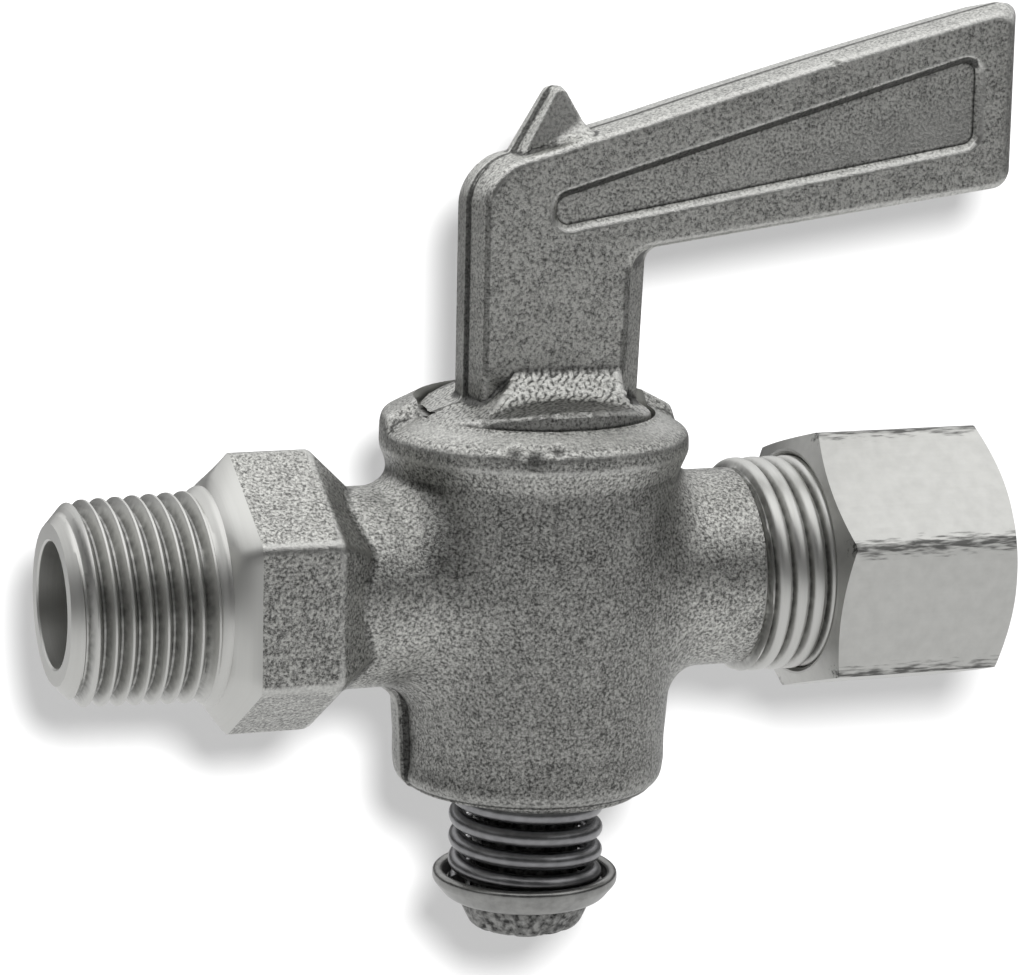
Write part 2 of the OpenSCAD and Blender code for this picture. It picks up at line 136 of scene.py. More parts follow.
class CockSizes(bpy.types.PropertyGroup):
    """Sizes that only the dressed pieces have"""
    neck_fillet: FloatProperty(name="Neck fillet", description="Fillet between each neck and the barrel",
                               default=0.0026, unit="LENGTH")
    die_slip_front: FloatProperty(name="Front die slip", default=0.00045, unit="LENGTH",
                                  description="How far the front forging die was out of line")
    die_slip_back: FloatProperty(name="Back die slip", default=-0.00038, unit="LENGTH",
                                 description="How far the back forging die was out of line")
    lever_slip: FloatProperty(name="Lever die slip", default=0.000175, unit="LENGTH",
                              description="How far each of the lever's dies was out of line")
    lever_edge: FloatProperty(name="Lever edge", description="Rounding of the lever's long edges",
                              default=0.0005, unit="LENGTH")
    panel_depth: FloatProperty(name="Panel depth", description="Depth of the panels sunk in the arm",
                               default=0.0006, unit="LENGTH")
    forging_cell: FloatProperty(name="Forging mesh cell", default=0.00025, unit="LENGTH",
                                description="Edge of the mesh cells on the forged pieces")


class CockColours(bpy.types.PropertyGroup):
    """Colours of the metals and of the set"""
    forged_dark: FloatVectorProperty(name="Forged brass, dark", subtype="COLOR", size=4, min=0, max=1,
                                     description="Pits of the sand-blasted forging",
                                     default=linear("#5e5e5c"))
    forged_light: FloatVectorProperty(name="Forged brass, light", subtype="COLOR", size=4, min=0, max=1,
                                      description="Peaks of the sand-blasted forging",
                                      default=linear("#d2d2ce"))
    turned: FloatVectorProperty(name="Turned brass", subtype="COLOR", size=4, min=0, max=1,
                                description="Threads and turned faces", default=linear("#c8c8c5"))
    # Also the pale colour toward which forged edges are lightened, by rubbing and by painted highlight.
    milled: FloatVectorProperty(name="Drawn brass bar", subtype="COLOR", size=4, min=0, max=1,
                                description="Nut", default=linear("#c4c4c1"))
    wire: FloatVectorProperty(name="Spring wire", subtype="COLOR", size=4, min=0, max=1,
                              description="Spring", default=linear("#949496"))
    pressed: FloatVectorProperty(name="Pressed brass", subtype="COLOR", size=4, min=0, max=1,
                                 description="Cup washer", default=linear("#9a9a98"))


# ---------------------------------------------------------------- outlines and blends

def rounded(points, radii, steps=6):
    """An outline with each corner rounded to its own radius, 0 for a sharp one."""
    outline = []
    for i, (point, radius) in enumerate(zip(points, radii)):
        p = np.array(point, float)
        if not radius:
            outline.append(p)
            continue
        before = np.array(points[i - 1], float) - p
        after = np.array(points[(i + 1) % len(points)], float) - p
        u, v = before / np.linalg.norm(before), after / np.linalg.norm(after)
        half = math.acos(np.clip(u @ v, -1, 1)) / 2
        centre = p + (u + v) / np.linalg.norm(u + v) * radius / math.sin(half)
        start, end = (p + side * radius / math.tan(half) - centre for side in (u, v))
        turn = math.atan2(start[1], start[0])
        sweep = (math.atan2(end[1], end[0]) - turn + math.pi) % math.tau - math.pi
        for k in range(steps + 1):
            angle = turn + sweep * k / steps
            outline.append(centre + radius * np.array((math.cos(angle), math.sin(angle))))
    return np.array(outline)


def outline_distance(a, b, outline):
    """Distance of points (a, b) from a closed outline, below zero inside it."""
    nearest = np.full(len(a), np.inf)
    inside = np.zeros(len(a), bool)
    for (ax, ay), (bx, by) in zip(outline, np.roll(outline, -1, 0)):
        ex, ey = bx - ax, by - ay
        px, py = a - ax, b - ay
        t = np.clip((px * ex + py * ey) / (ex * ex + ey * ey + 1e-12), 0, 1)
        nearest = np.minimum(nearest, (px - t * ex) ** 2 + (py - t * ey) ** 2)
        if ay != by:
            inside ^= ((ay > b) != (by > b)) & (a < ax + ex * (b - ay) / ey)
    return np.where(inside, -1, 1) * np.sqrt(nearest)


def joined(a, b, radius):
    """Distance from two shapes joined with a fillet."""
    return np.maximum(radius, np.minimum(a, b)) - np.hypot(
        np.maximum(radius - a, 0), np.maximum(radius - b, 0))


def common(a, b, radius):
    """Distance from what two shapes share, with its edge rounded."""
    return -joined(-a, -b, radius)


def hexagon_half(y, z):
    """Half the width across flats of the rounded hexagon through each point."""
    total = 0
    for k in range(3):
        turn = math.radians(60 * k)
        total = total + (np.abs(y * math.cos(turn) + z * math.sin(turn)) / HEX_HALF) ** HEX_POWER
    return HEX_HALF * total ** (1 / HEX_POWER)


# ---------------------------------------------------------------- mesh helpers

def turned(bm, outline, axis="Z", steps=128, angle=math.tau, start=0.0):
    """Turns an outline of (radius, height) about the plug axis, or of (place, radius) about the pipe."""
    if axis == "Z":
        places = [(r * math.cos(start), r * math.sin(start), z) for r, z in outline]
    else:
        places = [(x, 0, r) for x, r in outline]
    verts = [bm.verts.new(p) for p in places]
    edges = [bm.edges.new(pair) for pair in zip(verts, verts[1:])]
    full = abs(angle - math.tau) < 1e-6
    bmesh.ops.spin(bm, geom=verts + edges, cent=(0, 0, 0), angle=angle, steps=steps,
                   axis=(0, 0, 1) if axis == "Z" else (1, 0, 0), use_merge=full)


def tidy(bm, join=1e-4):
    """Merges doubles, drops flat slivers and turns the faces outwards."""
    bmesh.ops.remove_doubles(bm, verts=bm.verts, dist=join)
    bmesh.ops.dissolve_degenerate(bm, edges=bm.edges, dist=join / 10)
    bmesh.ops.recalc_face_normals(bm, faces=bm.faces)


def lathed(outline, axis="Z"):
    """A new mesh of one outline turned all the way round."""
    bm = bmesh.new()
    turned(bm, outline, axis)
    tidy(bm)
    return bm


def only(geometry, kind):
    """The elements of one kind among those that an operator returned."""
    return [g for g in geometry if isinstance(g, kind)]


def cut_away(bm, place, outwards):
    """Cuts away what lies outwards of a plane, and returns the edges of the cut."""
    cut = bmesh.ops.bisect_plane(bm, geom=bm.verts[:] + bm.edges[:] + bm.faces[:], plane_co=place,
                                 plane_no=outwards, clear_outer=True)
    return only(cut["geom_cut"], bmesh.types.BMEdge)


def closed_into(bm, part):
    """Closes the open sides of a part-turned shell and adds it to a mesh."""
    bmesh.ops.remove_doubles(part, verts=part.verts, dist=1e-4)
    bmesh.ops.holes_fill(part, edges=part.edges, sides=0)
    tidy(part)
    mesh = bpy.data.meshes.new("part")
    part.to_mesh(mesh)
    part.free()
    bm.from_mesh(mesh)
    bpy.data.meshes.remove(mesh)


def plate(bm, outline, half):
    """A flat plate about the XZ plane, drawn by its outline."""
    face = bm.faces.new([bm.verts.new((x, -half, z)) for x, z in outline])
    raised = bmesh.ops.extrude_face_region(bm, geom=[face])["geom"]
    bmesh.ops.translate(bm, vec=(0, 2 * half, 0), verts=only(raised, bmesh.types.BMVert))


def as_object(name, bm, finishes=(None, None)):
    """An object of a mesh, with a material slot for each finish. A work object's two are empty."""
    mesh = bpy.data.meshes.new(name)
    bm.to_mesh(mesh)
    bm.free()
    for finish in finishes:
        mesh.materials.append(finish)
    obj = bpy.data.objects.new(name, mesh)
    bpy.context.scene.collection.objects.link(obj)
    return obj


def applied(obj):
    """The mesh of a work object with its modifiers, and the object gone."""
    bpy.context.view_layer.update()
    mesh = bpy.data.meshes.new_from_object(obj.evaluated_get(bpy.context.evaluated_depsgraph_get()))
    bpy.data.objects.remove(obj)
    return mesh


# How a forged blank is drawn onto its shape: the times it is drawn, those on which it is relaxed
# first and by what share, the step that measures a slope, the least slope squared and the longest
# pull that count, and the height over or under its neighbours at which an edge is fully lightened,
# by rubbing and by painted highlight, and a corner fully darkened as painted shade
DRAWS, RELAXING, RELAX_SHARE = 9, range(2, 7), 0.6
SLOPE_STEP, LEAST_SLOPE, LONGEST_PULL, FULL_WEAR_AND_SHADE = 0.01, 0.2, 1.2, 0.02


def forged_skin(blank, distance, cell):
    """A blank remeshed in even cells, relaxed and drawn onto the blended shape."""
    work = as_object("blank", blank)
    cells = work.modifiers.new("cells", "REMESH")
    cells.mode = "VOXEL"
    cells.voxel_size = cell
    mesh = applied(work)
    count = len(mesh.vertices)
    places = np.empty(count * 3)
    mesh.vertices.foreach_get("co", places)
    places = places.reshape(-1, 3)
    ends = np.empty(len(mesh.edges) * 2, int)
    mesh.edges.foreach_get("vertices", ends)
    a, b = ends.reshape(-1, 2).T
    links = np.bincount(a, minlength=count) + np.bincount(b, minlength=count)

    def above_neighbours():
        """How far each point lies from the mean of those it is joined to."""
        mean = np.stack([np.bincount(a, places[b, k], count) + np.bincount(b, places[a, k], count)
                         for k in range(3)], 1) / links[:, None]
        return places - mean
    for turn in range(DRAWS):
        if turn in RELAXING:
            places = places - RELAX_SHARE * above_neighbours()
        here = distance(places)
        slope = np.stack([(distance(places + SLOPE_STEP * unit) - here) / SLOPE_STEP
                          for unit in np.eye(3)], 1)
        size = np.maximum((slope ** 2).sum(1), LEAST_SLOPE)
        pull = np.clip(here / size, -LONGEST_PULL, LONGEST_PULL)
        places = places - slope * pull[:, None]
    mesh.vertices.foreach_set("co", places.ravel())
    # An edge stands above its neighbours and is lightened, partly by rubbing and partly as painted
    # highlight. A corner lies below them and is darkened as painted shade.
    high = (above_neighbours() * slope).sum(1) / np.sqrt(size)
    wear_sheen_and_shade = mesh.attributes.new("wear_sheen_and_shade", "FLOAT", "POINT")
    wear_sheen_and_shade.data.foreach_set("value", np.clip(high / FULL_WEAR_AND_SHADE, -1, 1))
    bm = bmesh.new()
    bm.from_mesh(mesh)
    bpy.data.meshes.remove(mesh)
    return bm


def bored(bm, *cutters):
    """The mesh with closed cutters taken out of it. Their walls get material slot 1."""
    work = as_object("bored", bm)
    tools = []
    for cutter in cutters:
        for face in cutter.faces:
            face.material_index = 1
        tool = as_object("cutter", cutter)
        cut = work.modifiers.new("cut", "BOOLEAN")
        cut.operation = "DIFFERENCE"
        cut.solver = "EXACT"
        cut.object = tool
        tools.append(tool)
    mesh = applied(work)
    for tool in tools:
        bpy.data.objects.remove(tool)
    result = bmesh.new()
    result.from_mesh(mesh)
    bpy.data.meshes.remove(mesh)
    return result


def finish_piece(name, bm, finishes, body, nodes=(), crease=35):
    """Puts a piece in the frame, in metres. Edges sharper than crease, in degrees, stay sharp."""
    bmesh.ops.transform(bm, matrix=TO_FRAME, verts=bm.verts)
    for face in bm.faces:
        face.smooth = True
    for edge in bm.edges:
        if len(edge.link_faces) == 2:
            split = edge.link_faces[0].material_index != edge.link_faces[1].material_index
            edge.smooth = not split and edge.calc_face_angle(0) < math.radians(crease)
    piece = as_object(name, bm, finishes)
    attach(piece, body)
    if nodes:
        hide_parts(*nodes)


# ---------------------------------------------------------------- metals

def feed(tree, node, inputs):
    """Sets a node's inputs: a value, or a link from a socket or from a node's first output."""
    for key, value in inputs.items():
        if isinstance(value, bpy.types.Node):
            value = value.outputs[0]
        if isinstance(value, bpy.types.NodeSocket):
            tree.links.new(value, node.inputs[key])
        else:
            node.inputs[key].default_value = value


def add(tree, kind, settings=None, inputs=None):
    """Adds a node with its settings and its inputs."""
    made = tree.nodes.new(kind)
    for key, value in (settings or {}).items():
        setattr(made, key, value)
    feed(tree, made, inputs or {})
    return made


def empty_material(name):
    """A material without nodes, and its tree. One that several pieces share is made anew each time."""
    material = bpy.data.materials.get(name) or bpy.data.materials.new(name)
    material.use_nodes = True
    material.node_tree.nodes.clear()
    return material, material.node_tree


def metal(name):
    """A bare metal with its shader linked to its output."""
    material, tree = empty_material(name)
    shader = add(tree, "ShaderNodeBsdfPrincipled", inputs={"Metallic": 1.0})
    add(tree, "ShaderNodeOutputMaterial", inputs={"Surface": shader})
    return material, tree, shader


def forged_brass(colours, name, pits, parting_shade):
    """Hot-forged brass, sand-blasted: a coarse grey grain, edges lightened by rubbing and by painted
    highlight, painted shade in corners and along the dies' line, and the barrel painted darker.

    More pits, up to 1, makes the grain darker, and the last value is how dark the painted shade along
    the dies' line is.
    """
    material, tree, shader = metal(name)
    where = add(tree, "ShaderNodeTexCoord").outputs["Object"]
    # Blasting grit leaves pits of about 0.15 mm. They are drawn 0.25 mm wide, so that they show.
    grain = add(tree, "ShaderNodeTexNoise", inputs={
        "Vector": where, "Scale": 1 / 0.00025, "Detail": 3.0, "Roughness": 0.7})
    patches = add(tree, "ShaderNodeTexNoise", inputs={
        "Vector": where, "Scale": 1 / 0.003, "Detail": 2.0, "Roughness": 0.5})
    mixed = add(tree, "ShaderNodeMix", {"data_type": "FLOAT"}, {"Factor": 0.1, "A": grain, "B": patches})
    ramp = add(tree, "ShaderNodeValToRGB", inputs={"Fac": mixed})
    ramp.color_ramp.elements[0].position = pits
    ramp.color_ramp.elements[0].color = colours.forged_dark
    ramp.color_ramp.elements[1].position = pits + 0.25
    ramp.color_ramp.elements[1].color = colours.forged_light
    # The mesh attribute read here is 1 on an edge, which is mixed toward the pale bar colour: lightened
    # by rubbing and by painted highlight. It is -1 in corners and dents, which are darkened as painted
    # shade.
    wear_sheen_and_shade = add(tree, "ShaderNodeAttribute", {"attribute_name": "wear_sheen_and_shade"}).outputs["Fac"]
    rubbed_and_highlit = add(tree, "ShaderNodeMapRange", inputs={
        "Value": wear_sheen_and_shade, "From Min": 0.25, "From Max": 1.0, "To Min": 0.0, "To Max": 0.7})
    colour = add(tree, "ShaderNodeMix", {"data_type": "RGBA"}, {0: rubbed_and_highlit, 6: ramp, 7: colours.milled})
    # The dies met in the plane of the pipe axis. Along it a band about 0.2 mm wide is darkened as
    # painted shade of the step between the dies, and so are the corners, both toward the dark colour
    # below.
    across = add(tree, "ShaderNodeSeparateXYZ", inputs={"Vector": where}).outputs["Y"]
    away = add(tree, "ShaderNodeMath", {"operation": "ABSOLUTE"}, {0: across})
    line = add(tree, "ShaderNodeMapRange", inputs={
        "Value": away, "From Min": 0.00006, "From Max": 0.00013, "To Min": parting_shade, "To Max": 0.0})
    corner = add(tree, "ShaderNodeMapRange", inputs={
        "Value": wear_sheen_and_shade, "From Min": -0.9, "From Max": -0.15, "To Min": 0.8, "To Max": 0.0})
    dirt_and_shade = add(tree, "ShaderNodeMath", {"operation": "MAXIMUM"}, {0: line, 1: corner})
    dirtied_and_shaded = add(tree, "ShaderNodeMix", {"data_type": "RGBA"}, {
        0: dirt_and_shade, 6: colour.outputs[2], 7: linear("#1c1c1b")})
    # The barrel below its rim is painted darker than the necks and the lever, as painted shade: fully
    # within 11.5 mm of the plug axis and not at all beyond 14.5 mm.
    centred = add(tree, "ShaderNodeMapping", inputs={
        "Vector": where, "Location": (-PLUG_X * 0.001, 0, 0), "Scale": (1, 1, 0)})
    radius = add(tree, "ShaderNodeVectorMath", {"operation": "LENGTH"}, {0: centred})
    outside = add(tree, "ShaderNodeMapRange", inputs={
        "Value": radius.outputs["Value"], "From Min": 0.0115, "From Max": 0.0145})
    height = add(tree, "ShaderNodeSeparateXYZ", inputs={"Vector": where}).outputs["Z"]
    above = add(tree, "ShaderNodeMapRange", inputs={
        "Value": height, "From Min": 0.0075, "From Max": 0.0115})
    unshaded = add(tree, "ShaderNodeMath", {"operation": "MAXIMUM"}, {0: outside, 1: above})
    scale = add(tree, "ShaderNodeMapRange", inputs={"Value": unshaded, "To Min": 0.72, "To Max": 1.0})
    barrel_shaded = add(tree, "ShaderNodeMix", {"data_type": "RGBA", "blend_type": "MULTIPLY"}, {
        0: 1.0, 6: dirtied_and_shaded.outputs[2], 7: scale})
    rough = add(tree, "ShaderNodeMapRange", inputs={"Value": patches, "To Min": 0.36, "To Max": 0.5})
    smooth = add(tree, "ShaderNodeMix", {"data_type": "FLOAT"}, {"Factor": rubbed_and_highlit, "A": rough, "B": 0.26})
    bump = add(tree, "ShaderNodeBump", inputs={"Strength": 0.7, "Distance": 0.00008, "Height": grain})
    soft = add(tree, "ShaderNodeBump", inputs={
        "Strength": 0.3, "Distance": 0.0003, "Height": patches, "Normal": bump})
    feed(tree, shader, {"Base Color": barrel_shaded.outputs[2], "Roughness": smooth, "Normal": soft})
    return material


def turned_brass(colours):
    """Brass cut on a lathe: bright, with fine rings round the pipe axis and its thread roots darkened,
    partly as grime and partly as painted shade.
    """
    material, tree, shader = metal("turned_brass")
    where = add(tree, "ShaderNodeTexCoord").outputs["Object"]
    # Tool marks are about 0.05 mm apart. They are drawn 0.15 mm apart, so that they show. The mesh
    # attribute groove is 1 at the root of a thread and 0 on its crest and on plain faces.
    ringed = add(tree, "ShaderNodeMapping", inputs={"Vector": where, "Scale": (1 / 0.00015, 60, 60)})
    marks = add(tree, "ShaderNodeTexNoise", inputs={"Vector": ringed, "Scale": 1.0, "Detail": 2.0})
    dust = add(tree, "ShaderNodeTexNoise", inputs={"Vector": where, "Scale": 1 / 0.0007, "Detail": 4.0})
    groove = add(tree, "ShaderNodeAttribute", {"attribute_name": "groove"})
    # The roots are darkened toward the forging's dark colour, partly as grime and partly as painted
    # shade.
    dirt_and_shade = add(tree, "ShaderNodeMath", {"operation": "MULTIPLY"}, {0: groove.outputs["Fac"], 1: dust})
    amount = add(tree, "ShaderNodeMapRange", inputs={
        "Value": dirt_and_shade, "From Min": 0.1, "From Max": 0.6, "To Min": 0.0, "To Max": 0.7})
    colour = add(tree, "ShaderNodeMix", {"data_type": "RGBA"}, {
        0: amount, 6: colours.turned, 7: colours.forged_dark})
    rough = add(tree, "ShaderNodeMapRange", inputs={"Value": marks, "To Min": 0.32, "To Max": 0.48})
    bump = add(tree, "ShaderNodeBump", inputs={"Strength": 0.3, "Distance": 0.00003, "Height": marks})
    feed(tree, shader, {"Base Color": colour.outputs[2], "Roughness": rough, "Normal": bump})
    return material


def milled_brass(colours):
    """Drawn hexagon brass bar: pale and satin, with faint lines along the bar."""
    material, tree, shader = metal("drawn_brass_bar")
    where = add(tree, "ShaderNodeTexCoord").outputs["Object"]
    # Die lines are about 0.05 mm apart. They are drawn 0.2 mm apart, so that they show.
    drawn = add(tree, "ShaderNodeMapping", inputs={
        "Vector": where, "Scale": (90, 1 / 0.0002, 1 / 0.0002)})
    lines = add(tree, "ShaderNodeTexNoise", inputs={"Vector": drawn, "Scale": 1.0, "Detail": 2.0})
    cloud = add(tree, "ShaderNodeTexNoise", inputs={"Vector": where, "Scale": 1 / 0.0011, "Detail": 4.0})
    shade = add(tree, "ShaderNodeMapRange", inputs={
        "Value": cloud, "From Min": 0.3, "From Max": 0.7, "To Min": 0.9, "To Max": 1.0})
    # The mesh attribute corner is 1 on a corner of the bar, where the drawing die left broken lines.
    corner = add(tree, "ShaderNodeAttribute", {"attribute_name": "corner"}).outputs["Fac"]
    torn = add(tree, "ShaderNodeMapping", inputs={
        "Vector": where, "Scale": (600, 1 / 0.00025, 1 / 0.00025)})
    tears = add(tree, "ShaderNodeTexNoise", inputs={"Vector": torn, "Scale": 1.0, "Detail": 3.0})
    depth = add(tree, "ShaderNodeMath", {"operation": "MULTIPLY_ADD"}, {0: corner, 1: 0.62, 2: tears})
    scuff = add(tree, "ShaderNodeMapRange", inputs={
        "Value": depth, "From Min": 0.86, "From Max": 1.1, "To Min": 0.0, "To Max": 0.8})
    colour = add(tree, "ShaderNodeMix", {"data_type": "RGBA", "blend_type": "MULTIPLY"}, {
        0: 1.0, 6: colours.milled, 7: shade})
    scuffed = add(tree, "ShaderNodeMix", {"data_type": "RGBA"}, {
        0: scuff, 6: colour.outputs[2], 7: linear("#2c2c2b")})
    rough = add(tree, "ShaderNodeMapRange", inputs={"Value": lines, "To Min": 0.34, "To Max": 0.48})
    bump = add(tree, "ShaderNodeBump", inputs={"Strength": 0.25, "Distance": 0.00003, "Height": lines})
    feed(tree, shader, {"Base Color": scuffed.outputs[2], "Roughness": rough, "Normal": bump})
    return material


SMEAR_DEPTH = 0.00006  # in metres, where a smear is no darker than the metal


def dull_metal(name, colour, low, high, darkest=0.75, size=0.9):
    """Wire, sheet or a hammered end, dulled by handling: one colour with smears.

    Its roughness runs from low to high. The smears are size millimetres across, as dark as darkest
    times the colour, and the darker they are, the deeper they lie.
    """
    material, tree, shader = metal(name)
    where = add(tree, "ShaderNodeTexCoord").outputs["Object"]
    smear = add(tree, "ShaderNodeTexNoise", inputs={"Vector": where, "Scale": 1000 / size, "Detail": 5.0})
    shade = add(tree, "ShaderNodeMapRange", inputs={
        "Value": smear, "From Min": 0.35, "From Max": 0.65, "To Min": darkest, "To Max": 1.0})
    mixed = add(tree, "ShaderNodeMix", {"data_type": "RGBA", "blend_type": "MULTIPLY"}, {
        0: 1.0, 6: colour, 7: shade})
    rough = add(tree, "ShaderNodeMapRange", inputs={"Value": smear, "To Min": low, "To Max": high})
    bump = add(tree, "ShaderNodeBump", inputs={
        "Strength": 0.3, "Distance": SMEAR_DEPTH / darkest, "Height": smear})
    feed(tree, shader, {"Base Color": mixed.outputs[2], "Roughness": rough, "Normal": bump})
    return material


# ---------------------------------------------------------------- forged body

# The barrel's outline, as (radius, height) from the foot up to the rim, and the rounding of its corners
BARREL = rounded(
    [(-5, FOOT_Z - FLASH), (10.4, FOOT_Z - FLASH), (10.4, LIP_TOP_Z), (11.15, LIP_TOP_Z),
     (11.15, -13.4), (12.1, 0), (12.1, 9.2), (13.0, 11.3), (12.95, RIM_TOP_Z - 1.5),
     (10.1, RIM_TOP_Z), (-5, RIM_TOP_Z)],
    [0, 0, 0, 1.2, 4, 8, 2.4, 1.1, 1.0, 0, 0])


def body_blank():
    """Barrel, necks and hexagon as plain overlapping solids, within 1 mm or so of body_shape."""
    bm = bmesh.new()
    turned(bm, [(0, FOOT_Z - FLASH), (11.1, FOOT_Z - FLASH), (12.1, 0), (13, RIM_TOP_Z),
                (0, RIM_TOP_Z)], steps=48)
    # The rear half of the rim stands higher.
    step = bmesh.new()
    turned(step, [(0, 10), (12.2, 10), (12.2, RIM_TOP_Z + RIM_STEP), (0, RIM_TOP_Z + RIM_STEP)],
           steps=24, angle=math.pi)
    closed_into(bm, step)
    turned(bm, [(HEX_OUTER_X, 0), (HEX_OUTER_X, NECK_R), (TUBE_THREAD_X, NECK_R), (TUBE_THREAD_X, 0)],
           "X", 48)
    face = HEX_OUTER_X - HEX_STOCK
    turned(bm, [(face, 0), (face, 11), (HEX_INNER_X, 11), (HEX_INNER_X + BEVEL_RUN, 9),
                (HEX_INNER_X + BEVEL_RUN, 0)], "X", 48)
    tidy(bm)
    return bm


def body_shape(sizes):
    """The distance from the forged body, before any turning."""
    front, back = mm(sizes.die_slip_front), mm(sizes.die_slip_back)
    fillet = mm(sizes.neck_fillet)

    def distance(p):
        x, y, z = p.T
        # The dies slipped along the pipe, which shows below its axis and fades toward the foot.
        slip = (front + back) / 2 + (back - front) / 2 * np.tanh(y / 0.1)
        slip = slip * np.clip((4 - z) / 8, 0, 1) * np.clip((z - FOOT_Z) / 3, 0.2, 1)
        # The rear half of the rim is drawn up by its step, from 11 mm up to 14 mm over the pipe axis.
        rear = np.clip((y + 0.3) / 1.4, 0, 1)
        level = z - RIM_STEP * rear * rear * (3 - 2 * rear) * np.clip((z - 11) / 3, 0, 1)
        barrel = outline_distance(np.hypot(x - slip, y), level, BARREL)
        neck = np.maximum(np.hypot(y, z) - NECK_R, np.abs(x - NECK_MIDDLE_X) - NECK_REACH)
        half = hexagon_half(y, z)
        bevel = ((x - HEX_INNER_X) * BEVEL_FALL + (half - HEX_HALF) * BEVEL_RUN) / math.hypot(
            BEVEL_FALL, BEVEL_RUN)
        hexagon = np.maximum(common(half - HEX_HALF, bevel, 0.2), HEX_OUTER_X - HEX_STOCK - x)
        return joined(joined(barrel, neck, fillet), hexagon, 0.25)
    return distance


class COCK_OT_forge_body(bpy.types.Operator):
    """Make the forged body with its barrel, necks, rim and wrench hexagon"""
    bl_idname = "cock.forge_body"
    bl_label = "Forged body"

    def execute(self, context):
        sizes, colours = context.scene.cock_sizes, context.scene.cock_colours
        skin = forged_skin(body_blank(), body_shape(sizes), mm(sizes.forging_cell))
        # The hexagon's outer face is cut flat here, and pipe_thread brings the turned face itself.
        cut = cut_away(skin, (HEX_OUTER_X, 0, 0), (-1, 0, 0))
        bmesh.ops.edgeloop_fill(skin, edges=cut)
        over, below = RIM_TOP_Z + 3, FOOT_Z - 1  # both clear of the blank
        bore = lathed([(0, over), (RECESS_R, over), (RECESS_R, RECESS_FLOOR_Z),
                       (BORE_TOP_R, RECESS_FLOOR_Z), (BORE_FOOT_R, FOOT_Z), (BORE_FOOT_R, below),
                       (0, below)])
        # The foot is faced in two cuts: round the off-centre lip, and flat across the middle.
        lip_root = LIP_TOP_Z - 0.02
        lip_cut = lathed([(6.2, below), (6.2, FOOT_Z), (LIP_R - 0.2, FOOT_Z), (LIP_R, FOOT_Z + 0.2),
                          (LIP_R, lip_root), (15, lip_root), (15, below), (6.2, below)])
        bmesh.ops.translate(lip_cut, verts=lip_cut.verts, vec=(LIP_OFFSET, 0, 0))
        flat_cut = lathed([(0, FOOT_Z), (7, FOOT_Z), (7, below), (0, below)])
        first, last = HEX_OUTER_X - 1, TUBE_THREAD_X + 1
        way = lathed([(first, 0), (first, INLET_R), (INLET_END_X, INLET_R), (INLET_END_X, WATERWAY_R),
                      (last, WATERWAY_R), (last, 0)], "X")
        body = bored(skin, bore, way, lip_cut, flat_cut)
        # The faced foot was blasted with the rest. Only the bores keep the turned finish.
        for face in body.faces:
            middle = face.calc_center_median()
            if middle.z < LIP_TOP_Z and math.hypot(middle.x, middle.y) > BORE_FOOT_R + 0.1:
                face.material_index = 0
        lug = bmesh.new()
        foot, top, wall = RECESS_FLOOR_Z - 0.2, RIM_TOP_Z - 0.15, RECESS_R + 0.2
        turned(lug, [(LUG_R, foot), (wall, foot), (wall, top), (LUG_R, top), (LUG_R, foot)], steps=12,
               angle=math.radians(LUG_LAST - LUG_FIRST), start=math.radians(LUG_FIRST))
        closed_into(body, lug)
        # The front of the rim's top is lightened as painted highlight, most along its middle.
        wear_sheen_and_shade = body.verts.layers.float["wear_sheen_and_shade"]
        for vert in body.verts:
            radius = math.hypot(vert.co.x, vert.co.y)
            if vert.co.y < 0 and 10.4 < radius < 12.4 and vert.co.z > 13.1:
                vert[wear_sheen_and_shade] = max(vert[wear_sheen_and_shade], 0.75 - abs(radius - 11.3) * 0.3)
        strike(body, "rim_pit_left", "rim_pit_middle", "rim_pit_right")
        finish_piece("body_forging", body, [
            forged_brass(colours, "forged_brass_body", 0.38, 0.4), turned_brass(colours)],
            "body", ["valve_body"])
        return {"FINISHED"}


# ---------------------------------------------------------------- threads

def helix(bm, profile, pitch, first, turns, steps=120):
    """Winds one pitch of a profile round the pipe axis, radius 20 for a root to 21 for a crest."""
    verts = [bm.verts.new((first + pitch * s, 0, 20 + h)) for s, h in profile]
    edges = [bm.edges.new(pair) for pair in zip(verts, verts[1:])]
    bmesh.ops.spin(bm, geom=verts + edges, cent=(0, 0, 0), axis=(1, 0, 0), angle=math.tau * turns,
                   dvec=(pitch / steps, 0, 0), steps=int(steps * turns))


def shape_thread(bm, low, high, radius_at):
    """Clamps a helix between two places along the pipe and gives each point its radius."""
    for vert in bm.verts:
        x, y, z = vert.co
        around = math.hypot(y, z)
        height = around - 20
        x = min(max(x, low), high)
        radius = radius_at(x, height)
        vert.co = (x, y / around * radius, z / around * radius)
    bmesh.ops.remove_doubles(bm, verts=bm.verts, dist=2e-3)
    bmesh.ops.dissolve_degenerate(bm, edges=bm.edges, dist=1e-4)


def extruded(bm, ring, stations):
    """Extrudes a ring of edges through stations of (x, radius), each a number or a function of angle."""
    for station in stations:
        grown = bmesh.ops.extrude_edge_only(bm, edges=ring)["geom"]
        for vert in only(grown, bmesh.types.BMVert):
            angle = math.atan2(vert.co.z, vert.co.y)
            x, radius = (part(angle) if callable(part) else part for part in station)
            vert.co = (x, radius * math.cos(angle), radius * math.sin(angle))
        ring = only(grown, bmesh.types.BMEdge)


def carry_on(bm, place, stations):
    """Extrudes the ring that lies at a place along the pipe."""
    ring = sorted((v for v in bm.verts if abs(v.co.x - place) < 1e-3),
                  key=lambda v: math.atan2(v.co.z, v.co.y))
    ring = [bm.edges.get(pair) or bm.edges.new(pair) for pair in zip(ring, ring[1:] + ring[:1])]
    extruded(bm, ring, stations)


